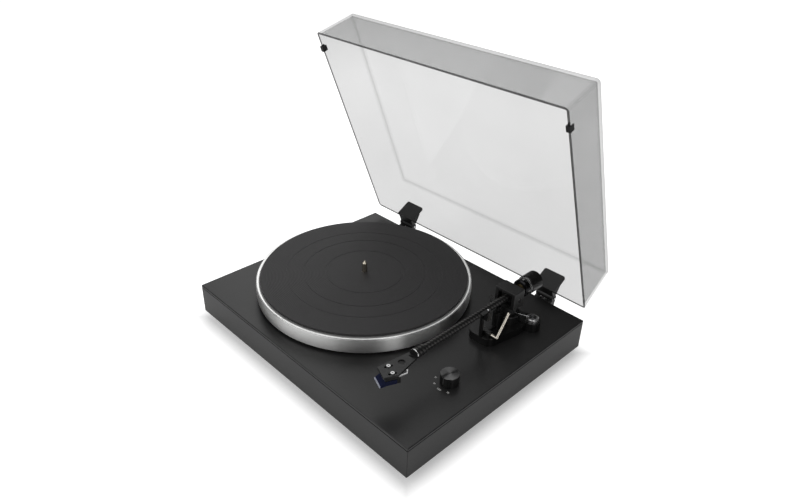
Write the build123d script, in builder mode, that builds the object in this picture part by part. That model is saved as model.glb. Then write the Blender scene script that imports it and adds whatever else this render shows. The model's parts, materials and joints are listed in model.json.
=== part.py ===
from build123d import *
from math import cos, degrees, hypot, pi, radians, sin, tan
import os

os.makedirs("parts", exist_ok=True)

# A direct-drive record deck: a low plinth, a platter on a ball-ended spindle, a straight
# tonearm with a removable headshell, and a clear dust cover held open on two rear hinges.
# Millimetres. +X is to the right, +Y to the back, +Z up. The origin is on the ground,
# under the middle of everything at rest.

# Clearances
RUN = 0.05  # radial gap of a shaft that turns or slides in its hole
SLIP = 0.3  # gap around a piece dropped into a recess
STEP = 0.5  # extra depth of a blind hole beyond what stands in it

# Platter, mat and record spindle
PLATTER_R = 151.3
PLATTER_H = 21.3
PLATTER_GAP = 3.0  # rim above the deck
DISC_T = 4.0
RIM_T = 12.0
RIM_CHAMFER = 0.6
MAT_R = 145.5
MAT_T = 3.2
SPINDLE_R = 3.57
SPINDLE_TOP = 16.5  # spindle above the mat
CONE_H = 3.0
CONE_TIP_R = 1.0
RELIEF_W = 0.6  # turned relief at the mat's height
RELIEF_D = 0.25
MAT_GROOVES = (55.0, 86.0, 110.0)  # radii of the shallow rings in the mat
GROOVE_W = 1.6
GROOVE_D = 0.3

# Plinth around the platter
LEFT_MARGIN = 9.2
FRONT_MARGIN = 18.0
BACK_MARGIN = 15.4
ARM_GAP = 42.7  # platter's rim to the tonearm pivot, along X
ARM_MARGIN = 65.5  # pivot to the plinth's right side
PIVOT_BACK = 79.7  # pivot behind the spindle
BODY_H = 44.0  # underside to deck
DECK_T = 3.0
WEB_T = 9.0
WALL = 16.0
LEDGE = 6.0
COVER_T = 3.0
CORNER_R = 1.0
DECK_CHAMFER = 0.8
REVEAL_H = 1.2
REVEAL_D = 1.0
FOOT_H = 12.0
FOOT_R = 21.0
FOOT_TAPER = 2.0
FOOT_INSET = 51.0
PAD_R = 17.0
PAD_T = 2.5
PAD_SUNK = 1.0
VENT_L = 60.0
VENT_W = 3.0
VENT_PITCH = 8.0
VENTS = 8

# Screws that hold the case together, and the ones in the feet
SCREW_R = 1.5
SCREW_L = 10.0
HEAD_R = 3.0
HEAD_H = 2.0
FOOT_SCREW_R = 2.0
FOOT_SCREW_L = 22.0
FOOT_HEAD_R = 4.0
FOOT_HEAD_H = 3.0

# Motor
BASE_R = 62.0
BASE_T = 2.0
BASE_SCREW_R = 56.0
BOARD_R = 52.0
BOARD_T = 1.6
HOUSING_R = 10.0
HOUSING_FLANGE_R = 20.0
HOUSING_FLANGE_T = 2.5
HOUSING_BOTTOM = 8.0  # above the plinth's underside
HOUSING_FLOOR = 6.0
BUSH_R = 6.0
BUSH_L = 12.0
BALL_R = 2.5
CORE_R = 40.0
CORE_H = 8.0
POLES = 9
TOOTH_W = 7.0
CORE_YOKE_R = 18.0
SHOE_R = 36.0
SLOT_OPENING = 3.0
COIL_T = 1.7
MAGNET_GAP = 1.0
MAGNET_T = 5.0
MAGNET_H = 10.5
CUP_T = 1.5
HUB_R = 15.0
HUB_T = 2.3
BOSS_R = 9.0
BOSS_H = 3.0
SHOULDER_R = 13.0

# Speed knob and its switch
KNOB_FROM_RIGHT = 40.7
KNOB_FROM_FRONT = 109.9
KNOB_R = 11.7
KNOB_TOP = 14.0
KNOB_GAP = 0.6
KNOB_RIBS = 48
RIB_R = 0.35
KNOB_SHAFT_R = 3.0
KNOB_RECESS_R = 8.5
SWITCH_SIZE = 20.0
SWITCH_H = 12.0
SWITCH_BUSH_R = 4.5
SWITCH_NUT_R = 6.0
SWITCH_NUT_T = 2.0
POINTER_W = 1.2
POINTER_D = 0.4

# Electronics and rear panel
BOARD_L = 90.0
BOARD_W = 70.0
BOARD_FROM_LEFT = 280.0
BOARD_FROM_FRONT = 150.0
SPACER_H = 4.4
SPACER_R = 3.0
SPACER_EDGE = 1.0
CAN_R = 6.3
CAN_H = 14.0
CAN_PITCH = 15.0
PANEL_L = 84.0
PANEL_H = 26.0
PANEL_T = 2.0
PANEL_BORDER = 6.0
PANEL_FROM_LEFT = 190.0
PANEL_UP = 20.0
JACK_PITCH = 18.0
POST_OUT = 28.8  # ground post and power socket from the panel's middle
JACK_R = 4.15
JACK_BORE_R = 1.65
JACK_NECK_R = 3.8
JACK_L = 9.0
JACK_RING_R = 6.4
JACK_RING_T = 2.0
POST_R = 2.0
POST_NUT_R = 5.0
POST_NUT_L = 7.0
SOCKET_L = 14.0
SOCKET_H = 11.0
SOCKET_D = 12.0
SOCKET_BORE_R = 2.85
SOCKET_PIN_R = 1.0

# Tonearm: heights are above the deck, lengths are from the pivot
ARM_UP = 48.5
TUBE_R = 4.75
TUBE_BORE_R = 3.65
OVERHANG = 13.7
OFFSET_ANGLE = 22.7
ARM_BASE_H = 11.0
ARM_BASE_R = 25.3
TURRET_R = 16.7
TURRET_TOP = 24.0
SPIGOT_R = 17.5
BASE_NUT_R = 24.0
BASE_NUT_T = 5.0
BEARING_R = 9.0
BEARING_T = 5.0
PIVOT_SHAFT_R = 4.0
YOKE_W = 31.5
YOKE_D = 21.0
YOKE_BOTTOM = 36.0
YOKE_TOP = 60.5
CHEEK_T = 5.0
YOKE_FLOOR_T = 4.0
YOKE_ROOF_T = 3.5
NECK_R = 12.0
NECK_GAP = 0.4
YOKE_SCREW_R = 1.5
YOKE_SCREW_HEAD_R = 2.3
YOKE_SCREW_HEAD_T = 1.2
SCREW_POINT = 2.0
POINT_R = 0.25
HUB_W = 16.0
HUB_D = 14.0
HUB_H = 12.0
TUBE_IN_HUB = 11.2
STUB_R = 4.2
STUB_END = 62.0

# Counterweight behind the pivot
WEIGHT_R = 13.0
WEIGHT_FRONT = 34.0
WEIGHT_L = 22.0
NOSE_R = 9.5
NOSE_L = 13.0
WEIGHT_BUSH_R = 7.0
DIAL_R = 12.0
DIAL_L = 11.0
DIAL_GAP = 1.0
WEIGHT_TRAVEL = 6.0
WEIGHT_PITCH = 4.0  # travel in one turn of the counterweight

# Headshell and cartridge in front of the pivot
COLLAR_R = 6.5
SHELL_REACH = 49.4  # stylus ahead of the tube's front end
COLLAR_L = 12.0
COLLAR_RIM = 1.0
COLLAR_RIBS = 24
PLUG_R = 3.6
FERRULE_R = 6.2
FERRULE_L = 3.0
SHELL_T = 2.5
SHELL_REAR_W = 13.0
SHELL_FRONT_W = 20.0
SHELL_FRONT = 12.0  # front edge ahead of the cartridge screws
SHELL_TAB = 0.5
SHELL_SIDE = 1.5  # cartridge screws' middle, to the right of the arm's axis
SHELL_HOLE_R = 4.2
SHELL_SLOT_L = 6.5
SHELL_SLOT_W = 1.6
FINGER_R = 0.9
FINGER_SIDE = 9.4
FINGER_OUT = 2.5
FINGER_BACK = 11.0
FINGER_RISE = 4.5
CARTRIDGE_PITCH = 12.7
STYLUS_AHEAD = 9.5  # stylus ahead of the cartridge screws
CARTRIDGE_SCREW_R = 1.25
CARTRIDGE_HEAD_R = 2.4
CARTRIDGE_HEAD_H = 1.4
CARTRIDGE_SLOT_L = 10.5
CARTRIDGE_W = 16.0
CARTRIDGE_FRONT = 9.0
CARTRIDGE_REAR = 9.5
CARTRIDGE_H = 12.0
CARTRIDGE_STEP = 6.0  # upper part's height over the stylus unit
STYLUS_W = 17.4
STYLUS_FRONT = 16.0
STYLUS_REAR = 4.9
STYLUS_H = 8.0
LIP_LOW = 1.6
LIP_HIGH = 3.2
ARCH_H = 2.5
ARCH_L = 4.0
TONGUE_W = 6.0
TONGUE_H = 3.0
TONGUE_L = 3.6
TONGUE_UP = 1.0
TIP_UP = 2.3  # stylus tip above the mat
CANTILEVER_R = 0.35
DIAMOND_H = 0.9
LEAD_R = 0.4
LEAD_PITCH = 1.2
LEAD_DOWN = 1.5
LEAD_SAG = 3.0

# Cueing lift, arm rest and anti-skate dial, placed from the pivot
LIFT_OUT = 23.0
LIFT_R = 5.5
LIFT_TOP = 34.0
PISTON_R = 2.5
LIFT_BAR_W = 4.0
LIFT_BAR_T = 2.6
LIFT_BAR_GAP = 0.55
LIFT_BAR_START = -82.0
LIFT_BAR_ARC = 66.0
LIFT_TRAVEL = 5.0
LEVER_OUT = 46.0
LEVER_UP = 14.0
LEVER_SIDE = 20.0
LEVER_SHAFT_R = 2.0
LEVER_L = 34.4
LEVER_LEAN = 33.5
LEVER_R = 1.9
REST_OUT = 54.0
REST_POST_R = 2.5
REST_D = 7.0
REST_GAP = 0.6
REST_STOP_T = 6.0
LATCH_L = 16.0
LATCH_T = 1.8
LATCH_W = 4.4
LATCH_PIN_R = 1.2
SKATE_X = 27.0
SKATE_Y = 20.0
SKATE_R = 8.3
SKATE_H = 4.8
SKATE_LOBE_R = 11.0
SKATE_LOBE_H = 13.0
SKATE_PIN_R = 2.0
SKATE_ROOT_X = 4.0
SKATE_ROOT_Y = 15.0
LOBE_OUT = 44.5
LOBE_LEFT = 10.5
LOBE_RIGHT = 5.6
LOBE_R = 12.0

# Dust cover in its closed place, and how far it stands open at rest
LID_ANGLE = 68.5
LID_SIDE = 4.0
LID_FRONT = 2.0
LID_BACK = 2.0
LID_RISE = 2.5  # rim above the deck
LID_H = 63.0
LID_T = 3.0
LID_CORNER_R = 5.0
DRAFT_FRONT = 4.9
DRAFT_BACK = 10.4
DRAFT_SIDE = 3.3
HINGE_BACK = 10.5  # hinge axis behind the plinth
HINGE_INSET = 70.0
CLIP_W = 34.5
CLIP_NECK_W = 28.0
CLIP_H = 26.0
CLIP_T = 2.5
CLIP_SLOT = 0.15  # gap between the clip and the cover's wall
CLIP_LIP = 2.0
CLIP_CORNER_R = 3.0
CLIP_OUTER_H = 18.2
NECK_IN = 2.0
NECK_UP = 4.5
BARREL_R = 5.0
KNUCKLE_T = 5.0
KNUCKLE_GAP = 0.2
KNUCKLE_LOW = 3.4  # where the web leaves the knuckle, clear of the closed clip
PIN_R = 2.0
PIN_OUT = 1.5
HINGE_PLATE_H = 30.0
HINGE_PLATE_T = 3.0
HINGE_SCREW_PITCH = 18.0
SPRING_R = 3.4
SPRING_WIRE_R = 0.4
SPRING_TURNS = 8
SPRING_BORE_R = 4.1
BUMPER_L = 8.0
BUMPER_T = 1.2
BUMPER_UP = 5.0
BUMPER_DOWN = 2.3
BUMPER_FROM_FRONT = 26.0

# Sizes that follow
PLATTER_D = 2 * PLATTER_R
WIDTH = LEFT_MARGIN + PLATTER_D + ARM_GAP + ARM_MARGIN
DEPTH = FRONT_MARGIN + PLATTER_D + BACK_MARGIN
LID_W = WIDTH - 2 * LID_SIDE
LID_D = DEPTH - LID_FRONT - LID_BACK
OPEN_SIN = sin(radians(LID_ANGLE))
OPEN_COS = cos(radians(LID_ANGLE))
RIM_BACK = HINGE_BACK + LID_BACK  # hinge axis behind the closed rim
LID_REACH = LID_H * OPEN_SIN - (RIM_BACK + DRAFT_BACK) * OPEN_COS
OVERALL_DEPTH = DEPTH + HINGE_BACK + LID_REACH

LEFT_X = -WIDTH / 2
RIGHT_X = WIDTH / 2
FRONT_Y = -OVERALL_DEPTH / 2
BACK_Y = FRONT_Y + DEPTH
CASE_Y = FRONT_Y + DEPTH / 2
DECK_Z = FOOT_H + BODY_H
DECK_BOTTOM = DECK_Z - DECK_T
WEB_BOTTOM = DECK_BOTTOM - WEB_T

SPINDLE_X = LEFT_X + LEFT_MARGIN + PLATTER_R
SPINDLE_Y = FRONT_Y + FRONT_MARGIN + PLATTER_R
RIM_Z = DECK_Z + PLATTER_GAP
PLATTER_Z = RIM_Z + PLATTER_H
DISC_Z = PLATTER_Z - DISC_T
MAT_Z = PLATTER_Z + MAT_T

PIVOT_X = SPINDLE_X + PLATTER_R + ARM_GAP
PIVOT_Y = SPINDLE_Y + PIVOT_BACK
ARM_Z = DECK_Z + ARM_UP
ARM_L = hypot(PIVOT_X - SPINDLE_X, PIVOT_BACK) + OVERHANG
COLLAR_FRONT = ARM_L - SHELL_REACH
ARM_BASE_Z = DECK_Z + ARM_BASE_H

CORNER_BLOCK = FOOT_INSET - WALL + 3 * FOOT_SCREW_R
COVER_L = WIDTH - 2 * LEDGE
COVER_W = DEPTH - 2 * LEDGE


def bar(plane, radius, length, mode=Mode.ADD):
    """A round bar, or hole, from the plane along its normal."""
    with BuildSketch(plane) as section:
        Circle(radius)
    extrude(section.sketch, amount=length, mode=mode)


def pipe(plane, radius, bore, length):
    """A round tube from the plane along its normal."""
    with BuildSketch(plane) as section:
        Circle(radius)
        Circle(bore, mode=Mode.SUBTRACT)
    extrude(section.sketch, amount=length)


def block(plane, length, width, height, mode=Mode.ADD, corner=0.0):
    """A box on the plane, centred there, with its upright corners rounded if asked."""
    with BuildSketch(plane) as section:
        if corner:
            RectangleRounded(length, width, corner)
        else:
            Rectangle(length, width)
    extrude(section.sketch, amount=height, mode=mode)


def holes(planes, radius, depth):
    """Round holes sunk from each plane, against its normal."""
    for plane in planes:
        bar(plane, radius, -depth, mode=Mode.SUBTRACT)


def finish(piece, name):
    """Name a finished piece and write it out."""
    piece.part.label = name
    export_step(piece.part, f"parts/{name}.step")


def level(x, y, z):
    """The plane at a point that looks up."""
    return Plane((x, y, z))


def facing_back(x, y, z):
    """The plane at a point that looks to the back."""
    return Plane((x, y, z), x_dir=(-1, 0, 0), z_dir=(0, 1, 0))


def facing_front(x, y, z):
    """The plane at a point that looks to the front."""
    return Plane((x, y, z), x_dir=(1, 0, 0), z_dir=(0, -1, 0))


def facing_right(x, y, z):
    """The plane at a point that looks to the right."""
    return Plane((x, y, z), x_dir=(0, 1, 0), z_dir=(1, 0, 0))


def facing_down(x, y, z):
    """The plane at a point that looks down."""
    return Plane((x, y, z), x_dir=(1, 0, 0), z_dir=(0, 0, -1))


# Where screws go: each plane lies on the clamped surface and looks out of it.
ledge_x = COVER_L / 2 - (WALL - LEDGE) / 2
ledge_y = COVER_W / 2 - (WALL - LEDGE) / 2
cover_points = [(sx * ledge_x, sy * ledge_y) for sx in (-1, 1) for sy in (-1, 1)]
cover_points += [(0, -ledge_y), (0, ledge_y), (-ledge_x, 0), (ledge_x, 0)]
cover_screws = [facing_down(x, CASE_Y + y, FOOT_H) for x, y in cover_points]
foot_x = WIDTH / 2 - FOOT_INSET
foot_y = DEPTH / 2 - FOOT_INSET
foot_points = [(sx * foot_x, CASE_Y + sy * foot_y) for sx in (-1, 1) for sy in (-1, 1)]
foot_screw_z = FOOT_H - COVER_T - STEP
foot_screws_at = [facing_down(x, y, foot_screw_z) for x, y in foot_points]
motor_screws = [
    level(
        SPINDLE_X + BASE_SCREW_R * cos(radians(turn)),
        SPINDLE_Y + BASE_SCREW_R * sin(radians(turn)),
        DECK_Z + BASE_T,
    )
    for turn in (30, 150, 270)
]
BOARD_X = LEFT_X + BOARD_FROM_LEFT
BOARD_Y = FRONT_Y + BOARD_FROM_FRONT
BOARD_Z = WEB_BOTTOM - SPACER_H - BOARD_T
spacer_in = SPACER_R + SPACER_EDGE
board_points = [
    (BOARD_X + sx * (BOARD_L / 2 - spacer_in), BOARD_Y + sy * (BOARD_W / 2 - spacer_in))
    for sx in (-1, 1)
    for sy in (-1, 1)
]
board_screws = [facing_down(x, y, BOARD_Z) for x, y in board_points]
PANEL_X = LEFT_X + PANEL_FROM_LEFT
PANEL_Z = FOOT_H + PANEL_UP
panel_screws = [
    facing_back(PANEL_X + side * (PANEL_L - PANEL_BORDER) / 2, BACK_Y, PANEL_Z)
    for side in (-1, 1)
]
HINGE_Y = BACK_Y + HINGE_BACK
HINGE_Z = DECK_Z + LID_RISE
HINGE_XS = (LEFT_X + HINGE_INSET, RIGHT_X - HINGE_INSET)
HINGE_PLATE_Z = DECK_BOTTOM - REVEAL_H - HINGE_PLATE_H / 2
hinge_screws = [
    facing_back(x, BACK_Y + HINGE_PLATE_T, HINGE_PLATE_Z + side * HINGE_SCREW_PITCH / 2)
    for x in HINGE_XS
    for side in (-1, 1)
]

KNOB_X = RIGHT_X - KNOB_FROM_RIGHT
KNOB_Y = FRONT_Y + KNOB_FROM_FRONT

# Plinth: a thick-walled case, open below, with a web under the deck plate
with BuildPart() as plinth:
    block(level(0, CASE_Y, FOOT_H), WIDTH, DEPTH, BODY_H - DECK_T)
    fillet(plinth.edges().filter_by(Axis.Z), CORNER_R)
    with BuildSketch(level(0, CASE_Y, FOOT_H)) as inside:
        Rectangle(WIDTH - 2 * WALL, DEPTH - 2 * WALL)
        with GridLocations(WIDTH - 2 * WALL - CORNER_BLOCK, DEPTH - 2 * WALL - CORNER_BLOCK, 2, 2):
            Rectangle(CORNER_BLOCK, CORNER_BLOCK, mode=Mode.SUBTRACT)
    extrude(amount=WEB_BOTTOM - FOOT_H, mode=Mode.SUBTRACT)
    block(level(0, CASE_Y, FOOT_H), COVER_L + 2 * SLIP, COVER_W + 2 * SLIP, COVER_T, Mode.SUBTRACT)
    with BuildSketch(level(0, CASE_Y, DECK_BOTTOM - REVEAL_H)):
        Rectangle(WIDTH, DEPTH)
        Rectangle(WIDTH - 2 * REVEAL_D, DEPTH - 2 * REVEAL_D, mode=Mode.SUBTRACT)
    extrude(amount=REVEAL_H, mode=Mode.SUBTRACT)
    bar(level(SPINDLE_X, SPINDLE_Y, WEB_BOTTOM), HOUSING_R + SLIP, WEB_T, Mode.SUBTRACT)
    bar(level(PIVOT_X, PIVOT_Y, WEB_BOTTOM), SPIGOT_R + SLIP, WEB_T, Mode.SUBTRACT)
    switch_hole = SWITCH_SIZE + 2 * SLIP
    block(level(KNOB_X, KNOB_Y, WEB_BOTTOM), switch_hole, switch_hole, WEB_T, Mode.SUBTRACT)
    window = facing_front(PANEL_X, BACK_Y, PANEL_Z)
    window_l = PANEL_L - 2 * PANEL_BORDER
    window_h = PANEL_H - PANEL_BORDER
    block(window, window_l, window_h, WALL, Mode.SUBTRACT)
    block(window, PANEL_L + 2 * SLIP, PANEL_H + 2 * SLIP, PANEL_T, Mode.SUBTRACT)
    holes(cover_screws + panel_screws, SCREW_R, SCREW_L + STEP)
    holes(motor_screws + board_screws + hinge_screws, SCREW_R, SCREW_L + STEP)
    holes(foot_screws_at, FOOT_SCREW_R, FOOT_SCREW_L + STEP)
finish(plinth, "plinth")

# Deck plate: the top surface, bored for the bearing, the arm's spigot and the switch bush
with BuildPart() as deck_plate:
    block(level(0, CASE_Y, DECK_BOTTOM), WIDTH, DEPTH, DECK_T)
    fillet(deck_plate.edges().filter_by(Axis.Z), CORNER_R)
    chamfer(deck_plate.faces().sort_by(Axis.Z)[-1].edges(), DECK_CHAMFER)
    bar(level(SPINDLE_X, SPINDLE_Y, DECK_BOTTOM), HOUSING_R + SLIP, DECK_T, Mode.SUBTRACT)
    bar(level(PIVOT_X, PIVOT_Y, DECK_BOTTOM), SPIGOT_R + SLIP, DECK_T, Mode.SUBTRACT)
    bar(level(KNOB_X, KNOB_Y, DECK_BOTTOM), SWITCH_BUSH_R, DECK_T, Mode.SUBTRACT)
    holes(motor_screws, SCREW_R, SCREW_L)
finish(deck_plate, "deck_plate")

# Bottom cover, flush in its rebate, with vent slots under the electronics
with BuildPart() as bottom_cover:
    block(level(0, CASE_Y, FOOT_H), COVER_L, COVER_W, COVER_T, corner=CORNER_R)
    with BuildSketch(level(BOARD_X, BOARD_Y, FOOT_H)):
        with GridLocations(0, VENT_PITCH, 1, VENTS):
            SlotOverall(VENT_L, VENT_W)
    extrude(amount=COVER_T, mode=Mode.SUBTRACT)
    holes(cover_screws, SCREW_R, COVER_T)
    holes(foot_screws_at, FOOT_SCREW_R, FOOT_SCREW_L)
finish(bottom_cover, "bottom_cover")

# Pan-head screws of the case, all alike
with BuildPart() as case_screws:
    for plane in cover_screws + motor_screws + board_screws + panel_screws + hinge_screws:
        bar(plane, SCREW_R, -SCREW_L)
        bar(plane, HEAD_R, HEAD_H)
finish(case_screws, "case_screws")

# Feet: tapered discs with a screw well, a sunk rubber pad below
with BuildPart() as feet:
    for x, y in foot_points:
        with BuildSketch(level(x, y, PAD_T - PAD_SUNK)) as foot_low:
            Circle(FOOT_R - FOOT_TAPER)
        with BuildSketch(level(x, y, FOOT_H)) as foot_high:
            Circle(FOOT_R)
        loft([foot_low.sketch, foot_high.sketch])
        bar(level(x, y, 0), PAD_R + RUN, PAD_T, Mode.SUBTRACT)
        bar(level(x, y, 0), FOOT_HEAD_R + SLIP, foot_screw_z, Mode.SUBTRACT)
        bar(level(x, y, 0), FOOT_SCREW_R, FOOT_H, Mode.SUBTRACT)
finish(feet, "feet")

with BuildPart() as foot_pads:
    for x, y in foot_points:
        bar(level(x, y, 0), PAD_R, PAD_T)
finish(foot_pads, "foot_pads")

with BuildPart() as foot_screws:
    for plane in foot_screws_at:
        bar(plane, FOOT_SCREW_R, -FOOT_SCREW_L)
        bar(plane, FOOT_HEAD_R, FOOT_HEAD_H)
finish(foot_screws, "foot_screws")

# Motor base: a steel disc on the deck, under the platter
with BuildPart() as motor_base:
    pipe(level(SPINDLE_X, SPINDLE_Y, DECK_Z), BASE_R, HOUSING_R, BASE_T)
    holes(motor_screws, SCREW_R, BASE_T)
finish(motor_base, "motor_base")

# Bearing housing: a blind brass well with a flange and the stator's shoulder
BASE_TOP = DECK_Z + BASE_T
FLANGE_TOP = BASE_TOP + HOUSING_FLANGE_T
HUB_Z = DISC_Z - HUB_T
CUP_Z = HUB_Z - CUP_T
MAGNET_Z = CUP_Z - MAGNET_H
CORE_Z = MAGNET_Z + (MAGNET_H - CORE_H) / 2 - BOSS_H / 3
HOUSING_Z = FOOT_H + HOUSING_BOTTOM
WELL_Z = HOUSING_Z + HOUSING_FLOOR
HOUSING_TOP = HUB_Z - BOSS_H
with BuildPart() as bearing_housing:
    bar(level(SPINDLE_X, SPINDLE_Y, HOUSING_Z), HOUSING_R, HOUSING_TOP - HOUSING_Z)
    bar(level(SPINDLE_X, SPINDLE_Y, BASE_TOP), HOUSING_FLANGE_R, HOUSING_FLANGE_T)
    bar(level(SPINDLE_X, SPINDLE_Y, FLANGE_TOP), SHOULDER_R, CORE_Z - FLANGE_TOP)
    bar(level(SPINDLE_X, SPINDLE_Y, WELL_Z), BUSH_R, HOUSING_TOP - WELL_Z, Mode.SUBTRACT)
finish(bearing_housing, "bearing_housing")

SHAFT_Z = WELL_Z + 2 * BALL_R + RUN
with BuildPart() as bearing_bushes:
    for z in (SHAFT_Z + STEP, HOUSING_TOP - BUSH_L):
        pipe(level(SPINDLE_X, SPINDLE_Y, z), BUSH_R, SPINDLE_R + RUN, BUSH_L)
finish(bearing_bushes, "bearing_bushes")

with BuildPart() as thrust_ball:
    with Locations((SPINDLE_X, SPINDLE_Y, WELL_Z + BALL_R)):
        Sphere(BALL_R)
finish(thrust_ball, "thrust_ball")

# Stator: a slotted core with a coil on each tooth
slot_angle = pi / POLES
with BuildPart() as stator_core:
    with BuildSketch(level(SPINDLE_X, SPINDLE_Y, CORE_Z)):
        Circle(CORE_R)
        Circle(HOUSING_R, mode=Mode.SUBTRACT)
        inner = CORE_YOKE_R * tan(slot_angle) - TOOTH_W / 2 / cos(slot_angle)
        outer = SHOE_R * tan(slot_angle) - TOOTH_W / 2 / cos(slot_angle)
        with PolarLocations(0, POLES, start_angle=degrees(slot_angle)):
            Polygon(
                (CORE_YOKE_R, -inner),
                (SHOE_R, -outer),
                (SHOE_R, outer),
                (CORE_YOKE_R, inner),
                align=None,
                mode=Mode.SUBTRACT,
            )
        with PolarLocations(CORE_R, POLES, start_angle=degrees(slot_angle)):
            Rectangle(3 * (CORE_R - SHOE_R), SLOT_OPENING, mode=Mode.SUBTRACT)
    extrude(amount=CORE_H)
finish(stator_core, "stator_core")

coil_reach = SHOE_R * cos(slot_angle) - CORE_YOKE_R - 1
coil_r = CORE_YOKE_R + 1 + coil_reach / 2 - RUN
with BuildPart() as stator_coils:
    with BuildSketch(level(SPINDLE_X, SPINDLE_Y, CORE_Z - COIL_T)):
        with PolarLocations(coil_r, POLES):
            Rectangle(coil_reach - 2 * RUN, TOOTH_W + 2 * COIL_T)
    extrude(amount=CORE_H + 2 * COIL_T)
    with BuildSketch(level(SPINDLE_X, SPINDLE_Y, CORE_Z)):
        with PolarLocations(coil_r, POLES):
            Rectangle(coil_reach, TOOTH_W)
    extrude(amount=CORE_H, mode=Mode.SUBTRACT)
finish(stator_coils, "stator_coils")

with BuildPart() as motor_board:
    plane = level(SPINDLE_X, SPINDLE_Y, BASE_TOP)
    pipe(plane, BOARD_R, HOUSING_FLANGE_R + SLIP, BOARD_T)
finish(motor_board, "motor_board")

# Rotor: a steel cup with a ring magnet, on the spindle's boss
MAGNET_R = CORE_R + MAGNET_GAP
CUP_R = MAGNET_R + MAGNET_T + CUP_T
with BuildPart() as rotor_cup:
    pipe(level(SPINDLE_X, SPINDLE_Y, CUP_Z), CUP_R, BOSS_R, CUP_T)
    pipe(level(SPINDLE_X, SPINDLE_Y, MAGNET_Z), CUP_R, CUP_R - CUP_T, MAGNET_H)
finish(rotor_cup, "rotor_cup")

with BuildPart() as rotor_magnet:
    pipe(level(SPINDLE_X, SPINDLE_Y, MAGNET_Z), CUP_R - CUP_T, MAGNET_R, MAGNET_H)
finish(rotor_magnet, "rotor_magnet")

SPINDLE_Z = MAT_Z + SPINDLE_TOP
with BuildPart() as spindle_shaft:
    bar(level(SPINDLE_X, SPINDLE_Y, SHAFT_Z), SPINDLE_R, SPINDLE_Z - SHAFT_Z)
    tip = spindle_shaft.faces().sort_by(Axis.Z)[-1].edges()
    chamfer(tip, CONE_H, length2=SPINDLE_R - CONE_TIP_R)
    with BuildSketch(level(SPINDLE_X, SPINDLE_Y, MAT_Z + SLIP / 2)):
        Circle(SPINDLE_R)
        Circle(SPINDLE_R - RELIEF_D, mode=Mode.SUBTRACT)
    extrude(amount=-RELIEF_W, mode=Mode.SUBTRACT)
    bar(level(SPINDLE_X, SPINDLE_Y, HUB_Z), HUB_R, HUB_T)
    bar(level(SPINDLE_X, SPINDLE_Y, CUP_Z), BOSS_R, CUP_T)
finish(spindle_shaft, "spindle_shaft")

# Platter: a turned bowl, upside down, resting on the spindle's hub
with BuildPart() as platter:
    bar(level(SPINDLE_X, SPINDLE_Y, RIM_Z), PLATTER_R, PLATTER_H)
    chamfer(platter.edges().filter_by(GeomType.CIRCLE), RIM_CHAMFER)
    bar(level(SPINDLE_X, SPINDLE_Y, RIM_Z), PLATTER_R - RIM_T, PLATTER_H - DISC_T, Mode.SUBTRACT)
    bar(level(SPINDLE_X, SPINDLE_Y, RIM_Z), SPINDLE_R + RUN, PLATTER_H, Mode.SUBTRACT)
finish(platter, "platter")

with BuildPart() as platter_mat:
    pipe(level(SPINDLE_X, SPINDLE_Y, PLATTER_Z), MAT_R, SPINDLE_R + SLIP, MAT_T)
    for radius in MAT_GROOVES:
        with BuildSketch(level(SPINDLE_X, SPINDLE_Y, MAT_Z)) as groove:
            Circle(radius + GROOVE_W / 2)
            Circle(radius - GROOVE_W / 2, mode=Mode.SUBTRACT)
        extrude(amount=-GROOVE_D, mode=Mode.SUBTRACT)
finish(platter_mat, "platter_mat")

# Control board under the web, with its spacers and parts
with BuildPart() as control_board:
    block(level(BOARD_X, BOARD_Y, BOARD_Z), BOARD_L, BOARD_W, BOARD_T)
    holes(board_screws, SCREW_R, SCREW_L)
finish(control_board, "control_board")

with BuildPart() as board_spacers:
    for x, y in board_points:
        pipe(level(x, y, BOARD_Z + BOARD_T), SPACER_R, SCREW_R, SPACER_H)
finish(board_spacers, "board_spacers")

with BuildPart() as board_parts:
    for column in (-1, 0, 1):
        bar(level(BOARD_X + column * CAN_PITCH, BOARD_Y + BOARD_W / 4, BOARD_Z), CAN_R, -CAN_H)
    block(level(BOARD_X - BOARD_L / 6, BOARD_Y - BOARD_W / 6, BOARD_Z), 4 * CAN_R, CAN_R, -CAN_H / 2)
    block(level(BOARD_X + BOARD_L / 5, BOARD_Y - BOARD_W / 6, BOARD_Z), 3 * CAN_R, CAN_R, -CAN_H)
finish(board_parts, "board_parts")

# Speed switch: a rotary switch under the deck plate, its bush and nut coming up through it
with BuildPart() as speed_switch:
    block(level(KNOB_X, KNOB_Y, DECK_BOTTOM), SWITCH_SIZE, SWITCH_SIZE, -SWITCH_H)
    bar(level(KNOB_X, KNOB_Y, DECK_BOTTOM), SWITCH_BUSH_R, DECK_T + SWITCH_NUT_T)
    with BuildSketch(level(KNOB_X, KNOB_Y, DECK_Z)):
        RegularPolygon(SWITCH_NUT_R, 6)
    extrude(amount=SWITCH_NUT_T)
    shaft_z = DECK_BOTTOM - SWITCH_H / 2
    depth = DECK_Z + SWITCH_NUT_T - shaft_z
    bar(level(KNOB_X, KNOB_Y, shaft_z), KNOB_SHAFT_R + RUN, depth, Mode.SUBTRACT)
finish(speed_switch, "speed_switch")

KNOB_Z = DECK_Z + KNOB_TOP
shaft_length = KNOB_Z - 2 * BASE_T - shaft_z - RUN
with BuildPart() as switch_shaft:
    bar(level(KNOB_X, KNOB_Y, shaft_z + RUN), KNOB_SHAFT_R, shaft_length)
finish(switch_shaft, "switch_shaft")

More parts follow.
